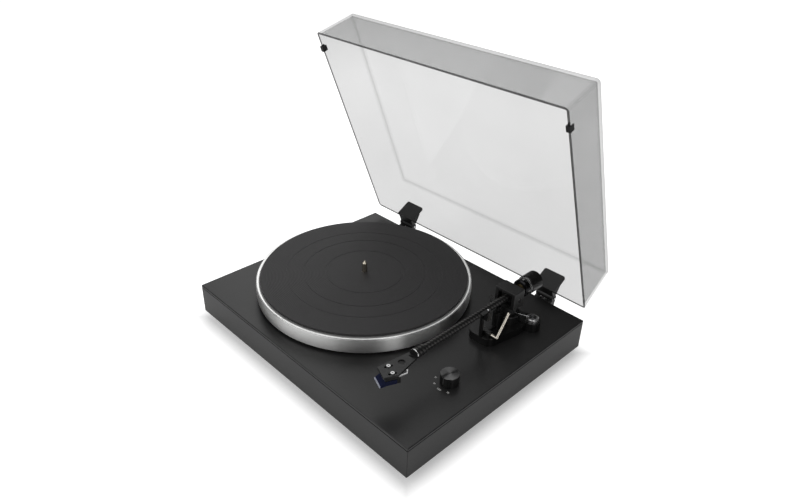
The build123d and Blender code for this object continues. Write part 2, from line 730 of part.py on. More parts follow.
with BuildPart() as speed_knob:
    knob_height = KNOB_TOP - KNOB_GAP
    bar(level(KNOB_X, KNOB_Y, DECK_Z + KNOB_GAP), KNOB_R, knob_height)
    chamfer(speed_knob.faces().sort_by(Axis.Z)[-1].edges(), RIB_R)
    with BuildSketch(level(KNOB_X, KNOB_Y, DECK_Z + KNOB_GAP)):
        with PolarLocations(KNOB_R, KNOB_RIBS, start_angle=180 / KNOB_RIBS):
            Circle(RIB_R)
    extrude(amount=knob_height - 2 * RIB_R, mode=Mode.SUBTRACT)
    pointer = facing_front(KNOB_X, KNOB_Y - KNOB_R, KNOB_Z - knob_height / 2)
    block(pointer, POINTER_W, knob_height, -2 * POINTER_D, Mode.SUBTRACT)
    knob_base = level(KNOB_X, KNOB_Y, DECK_Z + KNOB_GAP)
    bar(knob_base, KNOB_RECESS_R, SWITCH_NUT_T + STEP, Mode.SUBTRACT)
    bore_depth = shaft_z + RUN + shaft_length - DECK_Z - KNOB_GAP
    bar(knob_base, KNOB_SHAFT_R, bore_depth, Mode.SUBTRACT)
finish(speed_knob, "speed_knob")

# Rear panel with its sockets
JACK_XS = [PANEL_X + step * JACK_PITCH / 2 for step in (-1, 1)]
POST_X = PANEL_X + POST_OUT
SOCKET_X = PANEL_X - POST_OUT
panel_front = BACK_Y - PANEL_T
with BuildPart() as rear_panel:
    block(facing_back(PANEL_X, panel_front, PANEL_Z), PANEL_L, PANEL_H, PANEL_T)
    holes(panel_screws, SCREW_R, PANEL_T)
    for x in JACK_XS:
        bar(facing_back(x, panel_front, PANEL_Z), JACK_NECK_R, PANEL_T, Mode.SUBTRACT)
    bar(facing_back(POST_X, panel_front, PANEL_Z), POST_R, PANEL_T, Mode.SUBTRACT)
    bar(facing_back(SOCKET_X, panel_front, PANEL_Z), SOCKET_BORE_R, PANEL_T, Mode.SUBTRACT)
finish(rear_panel, "rear_panel")

with BuildPart() as phono_jacks:
    for x in JACK_XS:
        bar(facing_back(x, panel_front - JACK_L, PANEL_Z), JACK_NECK_R, 2 * JACK_L + PANEL_T)
        bar(facing_back(x, panel_front - JACK_L, PANEL_Z), JACK_R, JACK_L)
        bar(facing_back(x, BACK_Y + JACK_RING_T + STEP, PANEL_Z), JACK_R, JACK_L - JACK_RING_T - STEP)
        bar(facing_back(x, BACK_Y, PANEL_Z), JACK_BORE_R, JACK_L, Mode.SUBTRACT)
finish(phono_jacks, "phono_jacks")

with BuildPart() as jack_rings:
    for x in JACK_XS:
        pipe(facing_back(x, BACK_Y, PANEL_Z), JACK_RING_R, JACK_NECK_R, JACK_RING_T)
finish(jack_rings, "jack_rings")

with BuildPart() as ground_post:
    bar(facing_back(POST_X, panel_front - JACK_L / 2, PANEL_Z), POST_R, JACK_L + POST_NUT_L)
    bar(facing_back(POST_X, BACK_Y, PANEL_Z), POST_NUT_R, POST_NUT_L)
finish(ground_post, "ground_post")

with BuildPart() as power_socket:
    block(facing_front(SOCKET_X, panel_front, PANEL_Z), SOCKET_L, SOCKET_H, SOCKET_D)
    bar(facing_front(SOCKET_X, panel_front, PANEL_Z), SOCKET_BORE_R, SOCKET_D - PANEL_T, Mode.SUBTRACT)
    bar(facing_back(SOCKET_X, panel_front - SOCKET_D, PANEL_Z), SOCKET_PIN_R, SOCKET_D)
finish(power_socket, "power_socket")

# Tonearm base: a moulded foot with a turret for the vertical bearing, a raised lobe for the
# anti-skate dial and a front lobe for the rest and the cueing lift
SKATE_PX = PIVOT_X + SKATE_X
SKATE_PY = PIVOT_Y + SKATE_Y
SKATE_Z = DECK_Z + SKATE_LOBE_H
TURRET_Z = DECK_Z + TURRET_TOP
SKATE_PIN_L = SKATE_LOBE_H - DECK_T
with BuildPart() as arm_base:
    with BuildSketch(level(PIVOT_X, PIVOT_Y, DECK_Z)):
        Circle(ARM_BASE_R)
        with Locations((-LOBE_LEFT, -LOBE_OUT), (LOBE_RIGHT, -LOBE_OUT)):
            Circle(LOBE_R)
        make_hull()
    extrude(amount=ARM_BASE_H)
    with BuildSketch(level(PIVOT_X, PIVOT_Y, DECK_Z)):
        with Locations((SKATE_X, SKATE_Y), (SKATE_ROOT_X, SKATE_ROOT_Y)):
            Circle(SKATE_LOBE_R)
        make_hull()
    extrude(amount=SKATE_LOBE_H)
    bar(level(PIVOT_X, PIVOT_Y, DECK_Z), TURRET_R, TURRET_TOP)
    top_edges = arm_base.edges().filter_by(GeomType.CIRCLE).group_by(Axis.Z)[-1]
    fillet(top_edges, DECK_CHAMFER)
    bar(level(PIVOT_X, PIVOT_Y, WEB_BOTTOM - BASE_NUT_T), SPIGOT_R, WEB_T + DECK_T + BASE_NUT_T)
    spigot = level(PIVOT_X, PIVOT_Y, WEB_BOTTOM - BASE_NUT_T)
    bar(spigot, BEARING_R, TURRET_Z - WEB_BOTTOM + BASE_NUT_T, Mode.SUBTRACT)
    bar(level(SKATE_PX, SKATE_PY, SKATE_Z), SKATE_PIN_R + RUN, -SKATE_PIN_L, Mode.SUBTRACT)
finish(arm_base, "arm_base")

with BuildPart() as arm_base_nut:
    with BuildSketch(level(PIVOT_X, PIVOT_Y, WEB_BOTTOM)):
        RegularPolygon(BASE_NUT_R, 6)
        Circle(SPIGOT_R, mode=Mode.SUBTRACT)
    extrude(amount=-BASE_NUT_T)
finish(arm_base_nut, "arm_base_nut")

LOWER_BEARING_Z = WEB_BOTTOM
UPPER_BEARING_Z = TURRET_Z - BEARING_T - 1
with BuildPart() as pivot_bearings:
    for z in (LOWER_BEARING_Z, UPPER_BEARING_Z):
        pipe(level(PIVOT_X, PIVOT_Y, z), BEARING_R, PIVOT_SHAFT_R + RUN, BEARING_T)
finish(pivot_bearings, "pivot_bearings")

# Yoke: a block with a window for the arm, on a neck and a vertical shaft
YOKE_Z = DECK_Z + YOKE_BOTTOM
WINDOW_W = YOKE_W - 2 * CHEEK_T
WINDOW_H = YOKE_TOP - YOKE_BOTTOM - YOKE_FLOOR_T - YOKE_ROOF_T
WINDOW_Z = YOKE_Z + YOKE_FLOOR_T + WINDOW_H / 2
NECK_Z = TURRET_Z + NECK_GAP
with BuildPart() as arm_yoke:
    block(level(PIVOT_X, PIVOT_Y, YOKE_Z), YOKE_W, YOKE_D, YOKE_TOP - YOKE_BOTTOM)
    fillet(arm_yoke.edges().filter_by(Axis.Z), CORNER_R)
    chamfer(arm_yoke.faces().sort_by(Axis.Z)[-1].edges(), DECK_CHAMFER / 2)
    window = facing_front(PIVOT_X, PIVOT_Y + YOKE_D / 2, WINDOW_Z)
    block(window, WINDOW_W, WINDOW_H, YOKE_D, Mode.SUBTRACT)
    bar(level(PIVOT_X, PIVOT_Y, NECK_Z), NECK_R, YOKE_Z - NECK_Z)
    bar(level(PIVOT_X, PIVOT_Y, LOWER_BEARING_Z), PIVOT_SHAFT_R, NECK_Z - LOWER_BEARING_Z)
    through = facing_right(PIVOT_X - YOKE_W / 2, PIVOT_Y, ARM_Z)
    bar(through, YOKE_SCREW_R, YOKE_W, Mode.SUBTRACT)
finish(arm_yoke, "arm_yoke")

# Pointed screws through the cheeks, into coned seats in the hub
with BuildPart() as yoke_screws:
    for side in (-1, 1):
        outer_x = PIVOT_X + side * YOKE_W / 2
        inward = Plane((outer_x, PIVOT_Y, ARM_Z), x_dir=(0, 1, 0), z_dir=(-side, 0, 0))
        shank = (YOKE_W - HUB_W) / 2 - SLIP
        bar(inward, YOKE_SCREW_R, shank)
        bar(inward, YOKE_SCREW_HEAD_R, -YOKE_SCREW_HEAD_T)
        with BuildSketch(inward.offset(shank)) as cone_base:
            Circle(YOKE_SCREW_R)
        with BuildSketch(inward.offset(shank + SCREW_POINT)) as cone_tip:
            Circle(POINT_R)
        loft([cone_base.sketch, cone_tip.sketch])
finish(yoke_screws, "yoke_screws")

# Hub: the metal block that tilts in the yoke, with the rear stub for the counterweight
with BuildPart() as arm_hub:
    hub_front = facing_back(PIVOT_X, PIVOT_Y - HUB_D / 2, ARM_Z)
    block(hub_front, HUB_W, HUB_H, HUB_D)
    chamfer(arm_hub.edges().filter_by(Axis.Y), DECK_CHAMFER)
    bar(hub_front, TUBE_R, TUBE_IN_HUB, Mode.SUBTRACT)
    bar(facing_back(PIVOT_X, PIVOT_Y + HUB_D / 2, ARM_Z), STUB_R, STUB_END - HUB_D / 2)
    for side in (-1, 1):
        seat = Plane((PIVOT_X + side * HUB_W / 2, PIVOT_Y, ARM_Z), x_dir=(0, 1, 0), z_dir=(-side, 0, 0))
        with BuildSketch(seat) as seat_mouth:
            Circle(YOKE_SCREW_R + RUN)
        with BuildSketch(seat.offset(SCREW_POINT)) as seat_floor:
            Circle(POINT_R + RUN)
        loft([seat_mouth.sketch, seat_floor.sketch], mode=Mode.SUBTRACT)
finish(arm_hub, "arm_hub")

TUBE_FRONT = PIVOT_Y - COLLAR_FRONT
with BuildPart() as arm_tube:
    tube_l = COLLAR_FRONT - HUB_D / 2 + TUBE_IN_HUB
    pipe(facing_back(PIVOT_X, TUBE_FRONT, ARM_Z), TUBE_R, TUBE_BORE_R, tube_l)
finish(arm_tube, "arm_tube")

# Counterweight: turns on a bush that travels on the stub, its scale ring on its nose
BUSH_FRONT = PIVOT_Y + WEIGHT_FRONT - NOSE_L - DIAL_GAP
BUSH_LENGTH = WEIGHT_L + NOSE_L + 2 * DIAL_GAP
with BuildPart() as weight_bush:
    bush_plane = facing_back(PIVOT_X, BUSH_FRONT, ARM_Z)
    pipe(bush_plane, WEIGHT_BUSH_R, STUB_R + RUN, BUSH_LENGTH)
finish(weight_bush, "weight_bush")

with BuildPart() as counterweight:
    weight_plane = facing_back(PIVOT_X, PIVOT_Y + WEIGHT_FRONT, ARM_Z)
    bar(weight_plane, WEIGHT_R, WEIGHT_L)
    chamfer(counterweight.edges(), DECK_CHAMFER)
    bar(weight_plane, NOSE_R, -NOSE_L)
    nose_plane = facing_back(PIVOT_X, PIVOT_Y + WEIGHT_FRONT - NOSE_L, ARM_Z)
    bar(nose_plane, WEIGHT_BUSH_R + RUN, NOSE_L + WEIGHT_L, Mode.SUBTRACT)
finish(counterweight, "counterweight")

with BuildPart() as weight_dial:
    dial_plane = facing_back(PIVOT_X, PIVOT_Y + WEIGHT_FRONT - DIAL_GAP - DIAL_L, ARM_Z)
    pipe(dial_plane, DIAL_R, NOSE_R + RUN, DIAL_L)
    chamfer(weight_dial.faces().sort_by(Axis.Y)[0].outer_wire().edges(), 2 * DECK_CHAMFER)
finish(weight_dial, "weight_dial")

# Locking collar and headshell. The shell's far end is turned by the offset angle, so its
# front, its slots and the cartridge lie on a plane turned the same way.
with BuildPart() as headshell_collar:
    collar_plane = facing_back(PIVOT_X, TUBE_FRONT, ARM_Z)
    pipe(collar_plane, COLLAR_R, TUBE_R + RUN, COLLAR_L)
    with BuildSketch(collar_plane.offset(COLLAR_RIM)):
        with PolarLocations(COLLAR_R, COLLAR_RIBS):
            Circle(RIB_R)
    extrude(amount=COLLAR_L - 2 * COLLAR_RIM, mode=Mode.SUBTRACT)
finish(headshell_collar, "headshell_collar")

offset_angle = radians(OFFSET_ANGLE)
SCREWS_X = PIVOT_X + SHELL_SIDE
SCREWS_Y = PIVOT_Y - ARM_L + STYLUS_AHEAD * cos(offset_angle)
SHELL_Z = ARM_Z - SHELL_T


def shell_plane(z):
    """The level plane at the cartridge screws, its +Y running back along the cartridge."""
    return Plane((SCREWS_X, SCREWS_Y, z), x_dir=(cos(offset_angle), -sin(offset_angle), 0), z_dir=(0, 0, 1))


def shell_point(side, back):
    """A point in the headshell's turned frame, from the pivot."""
    x = SCREWS_X + side * cos(offset_angle) + back * sin(offset_angle) - PIVOT_X
    y = SCREWS_Y - side * sin(offset_angle) + back * cos(offset_angle) - PIVOT_Y
    return (x, y)


FERRULE_Y = -COLLAR_FRONT - RUN
SHELL_REAR_Y = FERRULE_Y - FERRULE_L
with BuildPart() as headshell:
    with BuildSketch(level(PIVOT_X, PIVOT_Y, SHELL_Z)):
        with BuildLine():
            Polyline(
                (-SHELL_REAR_W / 2, SHELL_REAR_Y),
                shell_point(-SHELL_FRONT_W / 2, -SHELL_FRONT),
                shell_point(SHELL_FRONT_W / 2, -SHELL_FRONT),
                shell_point(SHELL_FRONT_W / 2 + SHELL_TAB, SHELL_FRONT / 2),
                (SHELL_REAR_W / 2, SHELL_REAR_Y),
                close=True,
            )
        make_face()
    extrude(amount=SHELL_T)
    fillet(headshell.edges().filter_by(Axis.Z), CORNER_R)
    plug_plane = facing_back(PIVOT_X, PIVOT_Y + FERRULE_Y, ARM_Z)
    bar(plug_plane, FERRULE_R, -FERRULE_L)
    bar(plug_plane, PLUG_R, COLLAR_L)
    with BuildSketch(shell_plane(SHELL_Z)):
        with GridLocations(CARTRIDGE_PITCH, 0, 2, 1):
            SlotOverall(CARTRIDGE_SLOT_L, 2 * CARTRIDGE_SCREW_R + 2 * SLIP, rotation=90)
    extrude(amount=SHELL_T, mode=Mode.SUBTRACT)
    neck_y = (SHELL_REAR_Y + SCREWS_Y - PIVOT_Y) / 2
    bar(level(PIVOT_X, PIVOT_Y + neck_y, SHELL_Z), SHELL_HOLE_R, SHELL_T, Mode.SUBTRACT)
    with BuildSketch(level(PIVOT_X, PIVOT_Y + SHELL_REAR_Y - SHELL_REAR_W / 3, SHELL_Z)):
        SlotOverall(SHELL_SLOT_L, SHELL_SLOT_W)
    extrude(amount=SHELL_T, mode=Mode.SUBTRACT)
finish(headshell, "headshell")

# Finger lift: a bent wire from under the shell's right edge, back and up
with BuildPart() as finger_lift:
    finger_root = shell_point(FINGER_SIDE, SHELL_FRONT / 2)
    root_x = PIVOT_X + finger_root[0]
    root_y = PIVOT_Y + finger_root[1]
    root_z = SHELL_Z - FINGER_R
    with BuildLine() as finger_path:
        FilletPolyline(
            (root_x, root_y, root_z),
            (root_x + FINGER_OUT, root_y + FINGER_BACK, root_z),
            (root_x + FINGER_OUT, root_y + FINGER_BACK, root_z + FINGER_RISE),
            radius=2 * FINGER_R,
        )
    with BuildSketch(Plane(origin=finger_path.line @ 0, z_dir=finger_path.line % 0)):
        Circle(FINGER_R)
    sweep(path=finger_path.wire())
    block(level(root_x, root_y, SHELL_Z), 2 * FINGER_R, 2 * FINGER_R, -FINGER_R)
finish(finger_lift, "finger_lift")

CARTRIDGE_Z = SHELL_Z - CARTRIDGE_H
STYLUS_Z = CARTRIDGE_Z - (STYLUS_H - CARTRIDGE_H + CARTRIDGE_STEP)
STEP_Z = SHELL_Z - CARTRIDGE_STEP
TONGUE_Z = CARTRIDGE_Z + TONGUE_UP
with BuildPart() as cartridge:
    cartridge_l = CARTRIDGE_FRONT + CARTRIDGE_REAR
    middle = (CARTRIDGE_REAR - CARTRIDGE_FRONT) / 2
    with BuildSketch(shell_plane(STEP_Z)):
        with Locations((0, middle)):
            Rectangle(CARTRIDGE_W, cartridge_l)
    extrude(amount=CARTRIDGE_STEP)
    with BuildSketch(shell_plane(CARTRIDGE_Z)):
        rear_l = CARTRIDGE_REAR - STYLUS_REAR - RUN
        with Locations((0, CARTRIDGE_REAR - rear_l / 2)):
            Rectangle(CARTRIDGE_W, rear_l)
    extrude(amount=STEP_Z - CARTRIDGE_Z)
    with BuildSketch(shell_plane(TONGUE_Z)):
        with Locations((0, STYLUS_REAR + TONGUE_L / 2)):
            Rectangle(TONGUE_W + 2 * RUN, TONGUE_L + 2 * RUN)
    extrude(amount=TONGUE_H, mode=Mode.SUBTRACT)
    with BuildSketch(shell_plane(STEP_Z)):
        with GridLocations(CARTRIDGE_PITCH, 0, 2, 1):
            Circle(CARTRIDGE_SCREW_R)
    extrude(amount=CARTRIDGE_STEP, mode=Mode.SUBTRACT)
finish(cartridge, "cartridge")

with BuildPart() as cartridge_screws:
    with BuildSketch(shell_plane(SHELL_Z - CARTRIDGE_STEP)):
        with GridLocations(CARTRIDGE_PITCH, 0, 2, 1):
            Circle(CARTRIDGE_SCREW_R)
    extrude(amount=CARTRIDGE_STEP + SHELL_T)
    with BuildSketch(shell_plane(ARM_Z)):
        with GridLocations(CARTRIDGE_PITCH, 0, 2, 1):
            Circle(CARTRIDGE_HEAD_R)
    extrude(amount=CARTRIDGE_HEAD_H)
finish(cartridge_screws, "cartridge_screws")

# Stylus unit: a wedge-fronted grip that plugs into the cartridge from the front
with BuildPart() as stylus_unit:
    side_plane = Plane(
        (SCREWS_X, SCREWS_Y, STYLUS_Z),
        x_dir=(sin(offset_angle), cos(offset_angle), 0),
        z_dir=(cos(offset_angle), -sin(offset_angle), 0),
    )
    stylus_top = STEP_Z - RUN - STYLUS_Z
    with BuildSketch(side_plane.offset(-STYLUS_W / 2)):
        with BuildLine():
            Polyline(
                (STYLUS_REAR, ARCH_H),
                (STYLUS_REAR, stylus_top),
                (-CARTRIDGE_FRONT, stylus_top),
                (-STYLUS_FRONT, LIP_HIGH),
                (-STYLUS_FRONT, LIP_LOW),
                (-STYLUS_AHEAD - ARCH_L / 2, LIP_LOW),
                (-STYLUS_AHEAD + ARCH_L / 2, ARCH_H),
                close=True,
            )
        make_face()
    extrude(amount=STYLUS_W)
    with BuildSketch(shell_plane(TONGUE_Z + RUN)):
        with Locations((0, STYLUS_REAR + TONGUE_L / 2 - RUN)):
            Rectangle(TONGUE_W, TONGUE_L)
    extrude(amount=TONGUE_H - 2 * RUN)
finish(stylus_unit, "stylus_unit")

TIP_Z = MAT_Z + TIP_UP
with BuildPart() as cantilever:
    tip_point = shell_point(0, -STYLUS_AHEAD)
    root_point = shell_point(0, 0)
    tip_at = Vector(PIVOT_X + tip_point[0], PIVOT_Y + tip_point[1], TIP_Z + DIAMOND_H)
    root_at = Vector(PIVOT_X + root_point[0], PIVOT_Y + root_point[1], STYLUS_Z + ARCH_H)
    reach = root_at - tip_at
    with BuildSketch(Plane(origin=tip_at, z_dir=reach)):
        Circle(CANTILEVER_R)
    extrude(amount=reach.length)
    with BuildSketch(level(tip_at.X, tip_at.Y, TIP_Z)) as diamond_low:
        Circle(CANTILEVER_R / 4)
    with BuildSketch(level(tip_at.X, tip_at.Y, tip_at.Z)) as diamond_high:
        Circle(CANTILEVER_R)
    loft([diamond_low.sketch, diamond_high.sketch])
finish(cantilever, "cantilever")

# Four short leads from the plug to the cartridge's pins
with BuildPart() as cartridge_leads:
    for row in (-1.5, -0.5, 0.5, 1.5):
        pin = shell_point(row * 2 * LEAD_PITCH, CARTRIDGE_REAR + LEAD_R)
        start = Vector(PIVOT_X + row * LEAD_PITCH, PIVOT_Y + SHELL_REAR_Y - LEAD_R, SHELL_Z - LEAD_DOWN)
        end = Vector(PIVOT_X + pin[0], PIVOT_Y + pin[1], SHELL_Z - CARTRIDGE_STEP / 2)
        sag = (start + end) / 2 - Vector(0, 0, LEAD_SAG)
        with BuildLine() as lead_path:
            ThreePointArc(start, sag, end)
        with BuildSketch(Plane(origin=start, z_dir=lead_path.line % 0)) as lead_section:
            Circle(LEAD_R)
        sweep(lead_section.sketch, path=lead_path.line)
finish(cartridge_leads, "cartridge_leads")

# Cueing lift: a bearing block for the lever on the front lobe, and the piston's cylinder
LEVER_X = PIVOT_X + LEVER_SIDE
LEVER_Y = PIVOT_Y - LEVER_OUT
LEVER_Z = DECK_Z + LEVER_UP
LIFT_Z = DECK_Z + LIFT_TOP
block_l = LEVER_SIDE - 3 * LEVER_R
block_x = PIVOT_X + block_l / 2 - 2 * LEVER_R
with BuildPart() as lift_housing:
    bar(level(PIVOT_X, PIVOT_Y - LIFT_OUT, ARM_BASE_Z), LIFT_R, LIFT_Z - ARM_BASE_Z)
    spine_l = LEVER_OUT - LIFT_OUT
    spine_y = PIVOT_Y - LIFT_OUT - spine_l / 2
    block(level(PIVOT_X, spine_y, ARM_BASE_Z), LIFT_R, spine_l, LEVER_UP - ARM_BASE_H)
    block_h = LEVER_UP - ARM_BASE_H + 2 * LEVER_SHAFT_R
    block(level(block_x, LEVER_Y, ARM_BASE_Z), block_l, 4 * LEVER_SHAFT_R, block_h)
    fillet(lift_housing.edges().filter_by(Axis.X).group_by(Axis.Z)[-1], LEVER_SHAFT_R)
    lever_hole = facing_right(block_x - block_l / 2, LEVER_Y, LEVER_Z)
    bar(lever_hole, LEVER_SHAFT_R + RUN, block_l, Mode.SUBTRACT)
    well = LIFT_Z - ARM_BASE_Z - LEVER_SHAFT_R
    bar(level(PIVOT_X, PIVOT_Y - LIFT_OUT, LIFT_Z), PISTON_R + RUN, -well, Mode.SUBTRACT)
finish(lift_housing, "lift_housing")

lean = radians(LEVER_LEAN)
with BuildPart() as cue_lever:
    bar(facing_right(block_x - block_l / 2, LEVER_Y, LEVER_Z), LEVER_SHAFT_R, LEVER_X - block_x + block_l / 2)
    lever_plane = Plane((LEVER_X, LEVER_Y, LEVER_Z), x_dir=(1, 0, 0), z_dir=(0, sin(lean), cos(lean)))
    bar(lever_plane, LEVER_R, LEVER_L)
    with Locations((LEVER_X, LEVER_Y, LEVER_Z)):
        Sphere(LEVER_SHAFT_R)
    with Locations(lever_plane.from_local_coords((0, 0, LEVER_L))):
        Sphere(LEVER_R)
finish(cue_lever, "cue_lever")

# Lift bar: an arc about the arm's pivot, on the piston
LIFT_BAR_TOP = ARM_Z - TUBE_R - LIFT_BAR_GAP
lift_arc = CenterArc((0, 0), LIFT_OUT, LIFT_BAR_START, -LIFT_BAR_ARC)
with BuildPart() as lift_bar:
    with BuildSketch(level(PIVOT_X, PIVOT_Y, LIFT_BAR_TOP - LIFT_BAR_T)):
        SlotArc(lift_arc, LIFT_BAR_W)
    extrude(amount=LIFT_BAR_T)
    piston_top = LIFT_BAR_TOP - LIFT_BAR_T
    piston_bottom = LIFT_Z - well + LIFT_TRAVEL + STEP
    piston_l = piston_top - piston_bottom
    bar(level(PIVOT_X, PIVOT_Y - LIFT_OUT, piston_top), PISTON_R, -piston_l)
finish(lift_bar, "lift_bar")

# Arm rest: a post with a saddle open to the left, and a latch that swings over the tube
REST_Y = PIVOT_Y - REST_OUT
SADDLE_Z = ARM_Z - TUBE_R - REST_GAP
STOP_X = PIVOT_X + TUBE_R + SLIP + REST_STOP_T / 2
LATCH_Z = ARM_Z + TUBE_R + SLIP
with BuildPart() as rest_post:
    bar(level(PIVOT_X, REST_Y, ARM_BASE_Z), REST_POST_R, SADDLE_Z - ARM_BASE_Z)
    saddle_l = 2 * TUBE_R + REST_STOP_T + SLIP
    saddle_x = PIVOT_X - TUBE_R + saddle_l / 2
    block(level(saddle_x, REST_Y, SADDLE_Z), saddle_l, REST_D, -REST_POST_R)
    block(level(STOP_X, REST_Y, SADDLE_Z), REST_STOP_T, REST_D, LATCH_Z - SADDLE_Z)
    bar(level(STOP_X, REST_Y, LATCH_Z), LATCH_PIN_R + RUN, -3 * LATCH_PIN_R, Mode.SUBTRACT)
finish(rest_post, "rest_post")

with BuildPart() as rest_clip:
    latch_y = REST_Y - LATCH_L / 2 + LATCH_W / 2
    block(level(STOP_X, latch_y, LATCH_Z + RUN), LATCH_W, LATCH_L, LATCH_T, corner=LATCH_W / 2 - RUN)
    bar(level(STOP_X, REST_Y, LATCH_Z + RUN), LATCH_PIN_R, -2 * LATCH_PIN_R)
finish(rest_clip, "rest_clip")

with BuildPart() as antiskate_dial:
    bar(level(SKATE_PX, SKATE_PY, SKATE_Z + RUN), SKATE_R, SKATE_H)
    chamfer(antiskate_dial.edges().sort_by(Axis.Z)[-1], DECK_CHAMFER)
    bar(level(SKATE_PX, SKATE_PY, SKATE_Z + RUN), SKATE_PIN_R, 1 - SKATE_PIN_L)
finish(antiskate_dial, "antiskate_dial")

# Dust cover: everything on it is drawn in the closed cover's own directions, on planes
# through the hinge axis turned open by LID_ANGLE.
LID_X = (1, 0, 0)
LID_Y = (0, OPEN_COS, -OPEN_SIN)
LID_Z = (0, OPEN_SIN, OPEN_COS)


def lid_point(x, y, z):
    """Where a point of the closed cover, measured from the hinge axis, lies when open."""
    return (x, HINGE_Y + y * OPEN_COS + z * OPEN_SIN, HINGE_Z - y * OPEN_SIN + z * OPEN_COS)


def lid_plane(x, y, z):
    """The plane parallel to the cover's rim through such a point."""
    return Plane(lid_point(x, y, z), x_dir=LID_X, z_dir=LID_Z)


def lid_side_plane(x, y, z):
    """The plane across the hinge axis through such a point: local x to the cover's back."""
    return Plane(lid_point(x, y, z), x_dir=LID_Y, z_dir=(1, 0, 0))


def lid_slab(side, front, back, z, corner):
    """The cover's outline at a height: inset from the rim by side, front and back."""
    length = LID_W - 2 * side
    depth = LID_D - front - back
    middle = -RIM_BACK - LID_D / 2 + (front - back) / 2
    with BuildSketch(lid_plane(0, middle, z)) as outline:
        RectangleRounded(length, depth, corner)
    return outline.sketch


share = (LID_H - LID_T) / LID_H
with BuildPart() as dust_cover:
    loft([lid_slab(0, 0, 0, 0, LID_CORNER_R), lid_slab(DRAFT_SIDE, DRAFT_FRONT, DRAFT_BACK, LID_H, LID_CORNER_R)])
    top = dust_cover.faces().sort_by(Axis(lid_point(0, 0, 0), LID_Z))[-1]
    fillet(top.edges(), LID_T / 2)
    inner_low = lid_slab(LID_T, LID_T, LID_T, 0, LID_CORNER_R - LID_T)
    inner_high = lid_slab(
        LID_T + DRAFT_SIDE * share,
        LID_T + DRAFT_FRONT * share,
        LID_T + DRAFT_BACK * share,
        LID_H - LID_T,
        LID_CORNER_R - LID_T,
    )
    loft([inner_low, inner_high], mode=Mode.SUBTRACT)
finish(dust_cover, "dust_cover")

# Hinge clips: a forked plate grips the cover's back wall, a neck carries it to the barrel
back_slope = DRAFT_BACK / LID_H
barrel_w = CLIP_NECK_W - 2 * KNUCKLE_T - 2 * KNUCKLE_GAP
with BuildPart() as hinge_clips:
    for x in HINGE_XS:
        wall_in = -RIM_BACK - LID_T - CLIP_SLOT
        wall_out = -RIM_BACK + CLIP_SLOT
        with BuildSketch(lid_side_plane(x - CLIP_W / 2, 0, 0)) as inner_leaf:
            with BuildLine():
                Polyline(
                    (wall_in - CLIP_T, -CLIP_LIP),
                    (wall_in, -CLIP_LIP),
                    (wall_in, -CLIP_SLOT),
                    (wall_in - back_slope * CLIP_H, CLIP_H),
                    (wall_in - CLIP_T - back_slope * CLIP_H, CLIP_H),
                    close=True,
                )
            make_face()
        extrude(inner_leaf.sketch, amount=CLIP_W)
        across = hinge_clips.edges().filter_by(Axis((0, 0, 0), LID_Y))
        across = across.filter_by_position(Axis.X, x - CLIP_W, x + CLIP_W)
        fillet(across.sort_by(Axis(lid_point(0, 0, 0), LID_Z))[-2:], CLIP_CORNER_R)
        with BuildSketch(lid_side_plane(x - CLIP_NECK_W / 2, 0, 0)) as outer_leaf:
            with BuildLine():
                Polyline(
                    (wall_in, -CLIP_LIP),
                    (-BARREL_R, -CLIP_LIP),
                    (-NECK_IN, NECK_UP),
                    (wall_out + CLIP_T - back_slope * CLIP_OUTER_H, CLIP_OUTER_H),
                    (wall_out - back_slope * CLIP_OUTER_H, CLIP_OUTER_H),
                    (wall_out, -CLIP_SLOT),
                    (wall_in, -CLIP_SLOT),
                    close=True,
                )
            make_face()
        extrude(outer_leaf.sketch, amount=CLIP_NECK_W)
        barrel_start = facing_right(x - barrel_w / 2, HINGE_Y, HINGE_Z)
        bar(barrel_start, BARREL_R, barrel_w)
        for side in (-1, 1):
            cut_x = x + side * (barrel_w + KNUCKLE_T + 2 * KNUCKLE_GAP) / 2
            cut = facing_right(cut_x - KNUCKLE_T / 2 - KNUCKLE_GAP, HINGE_Y, HINGE_Z)
            bar(cut, BARREL_R + KNUCKLE_GAP * 2, KNUCKLE_T + 3 * KNUCKLE_GAP, Mode.SUBTRACT)
        bar(barrel_start, PIN_R + RUN, barrel_w, Mode.SUBTRACT)
        spring_room = facing_right(x - barrel_w / 4, HINGE_Y, HINGE_Z)
        bar(spring_room, SPRING_BORE_R, barrel_w / 2, Mode.SUBTRACT)
finish(hinge_clips, "hinge_clips")

# Hinge bases: a plate on the plinth's back with two knuckles up to the axis
plate_front = BACK_Y
plate_top = HINGE_PLATE_Z + HINGE_PLATE_H / 2
with BuildPart() as hinge_bases:
    for x in HINGE_XS:
        block(facing_back(x, plate_front, HINGE_PLATE_Z), CLIP_NECK_W, HINGE_PLATE_H, HINGE_PLATE_T)
        for side in (-1, 1):
            knuckle_x = x + side * (CLIP_NECK_W - KNUCKLE_T) / 2 - KNUCKLE_T / 2
            with BuildSketch(facing_right(knuckle_x, HINGE_Y, HINGE_Z)) as knuckle:
                Circle(BARREL_R)
                with BuildLine():
                    Polyline(
                        (-KNUCKLE_LOW, -KNUCKLE_LOW),
                        (BARREL_R, 0),
                        (BARREL_R - HINGE_BACK / 2, plate_top - HINGE_Z - HINGE_PLATE_H / 2),
                        (-HINGE_BACK, plate_top - HINGE_Z - HINGE_PLATE_H / 2),
                        (-HINGE_BACK, plate_top - HINGE_Z),
                        close=True,
                    )
                make_face()
            extrude(knuckle.sketch, amount=KNUCKLE_T)
            bar(facing_right(knuckle_x, HINGE_Y, HINGE_Z), PIN_R, KNUCKLE_T, Mode.SUBTRACT)
    holes(hinge_screws, SCREW_R, HINGE_PLATE_T)
finish(hinge_bases, "hinge_bases")

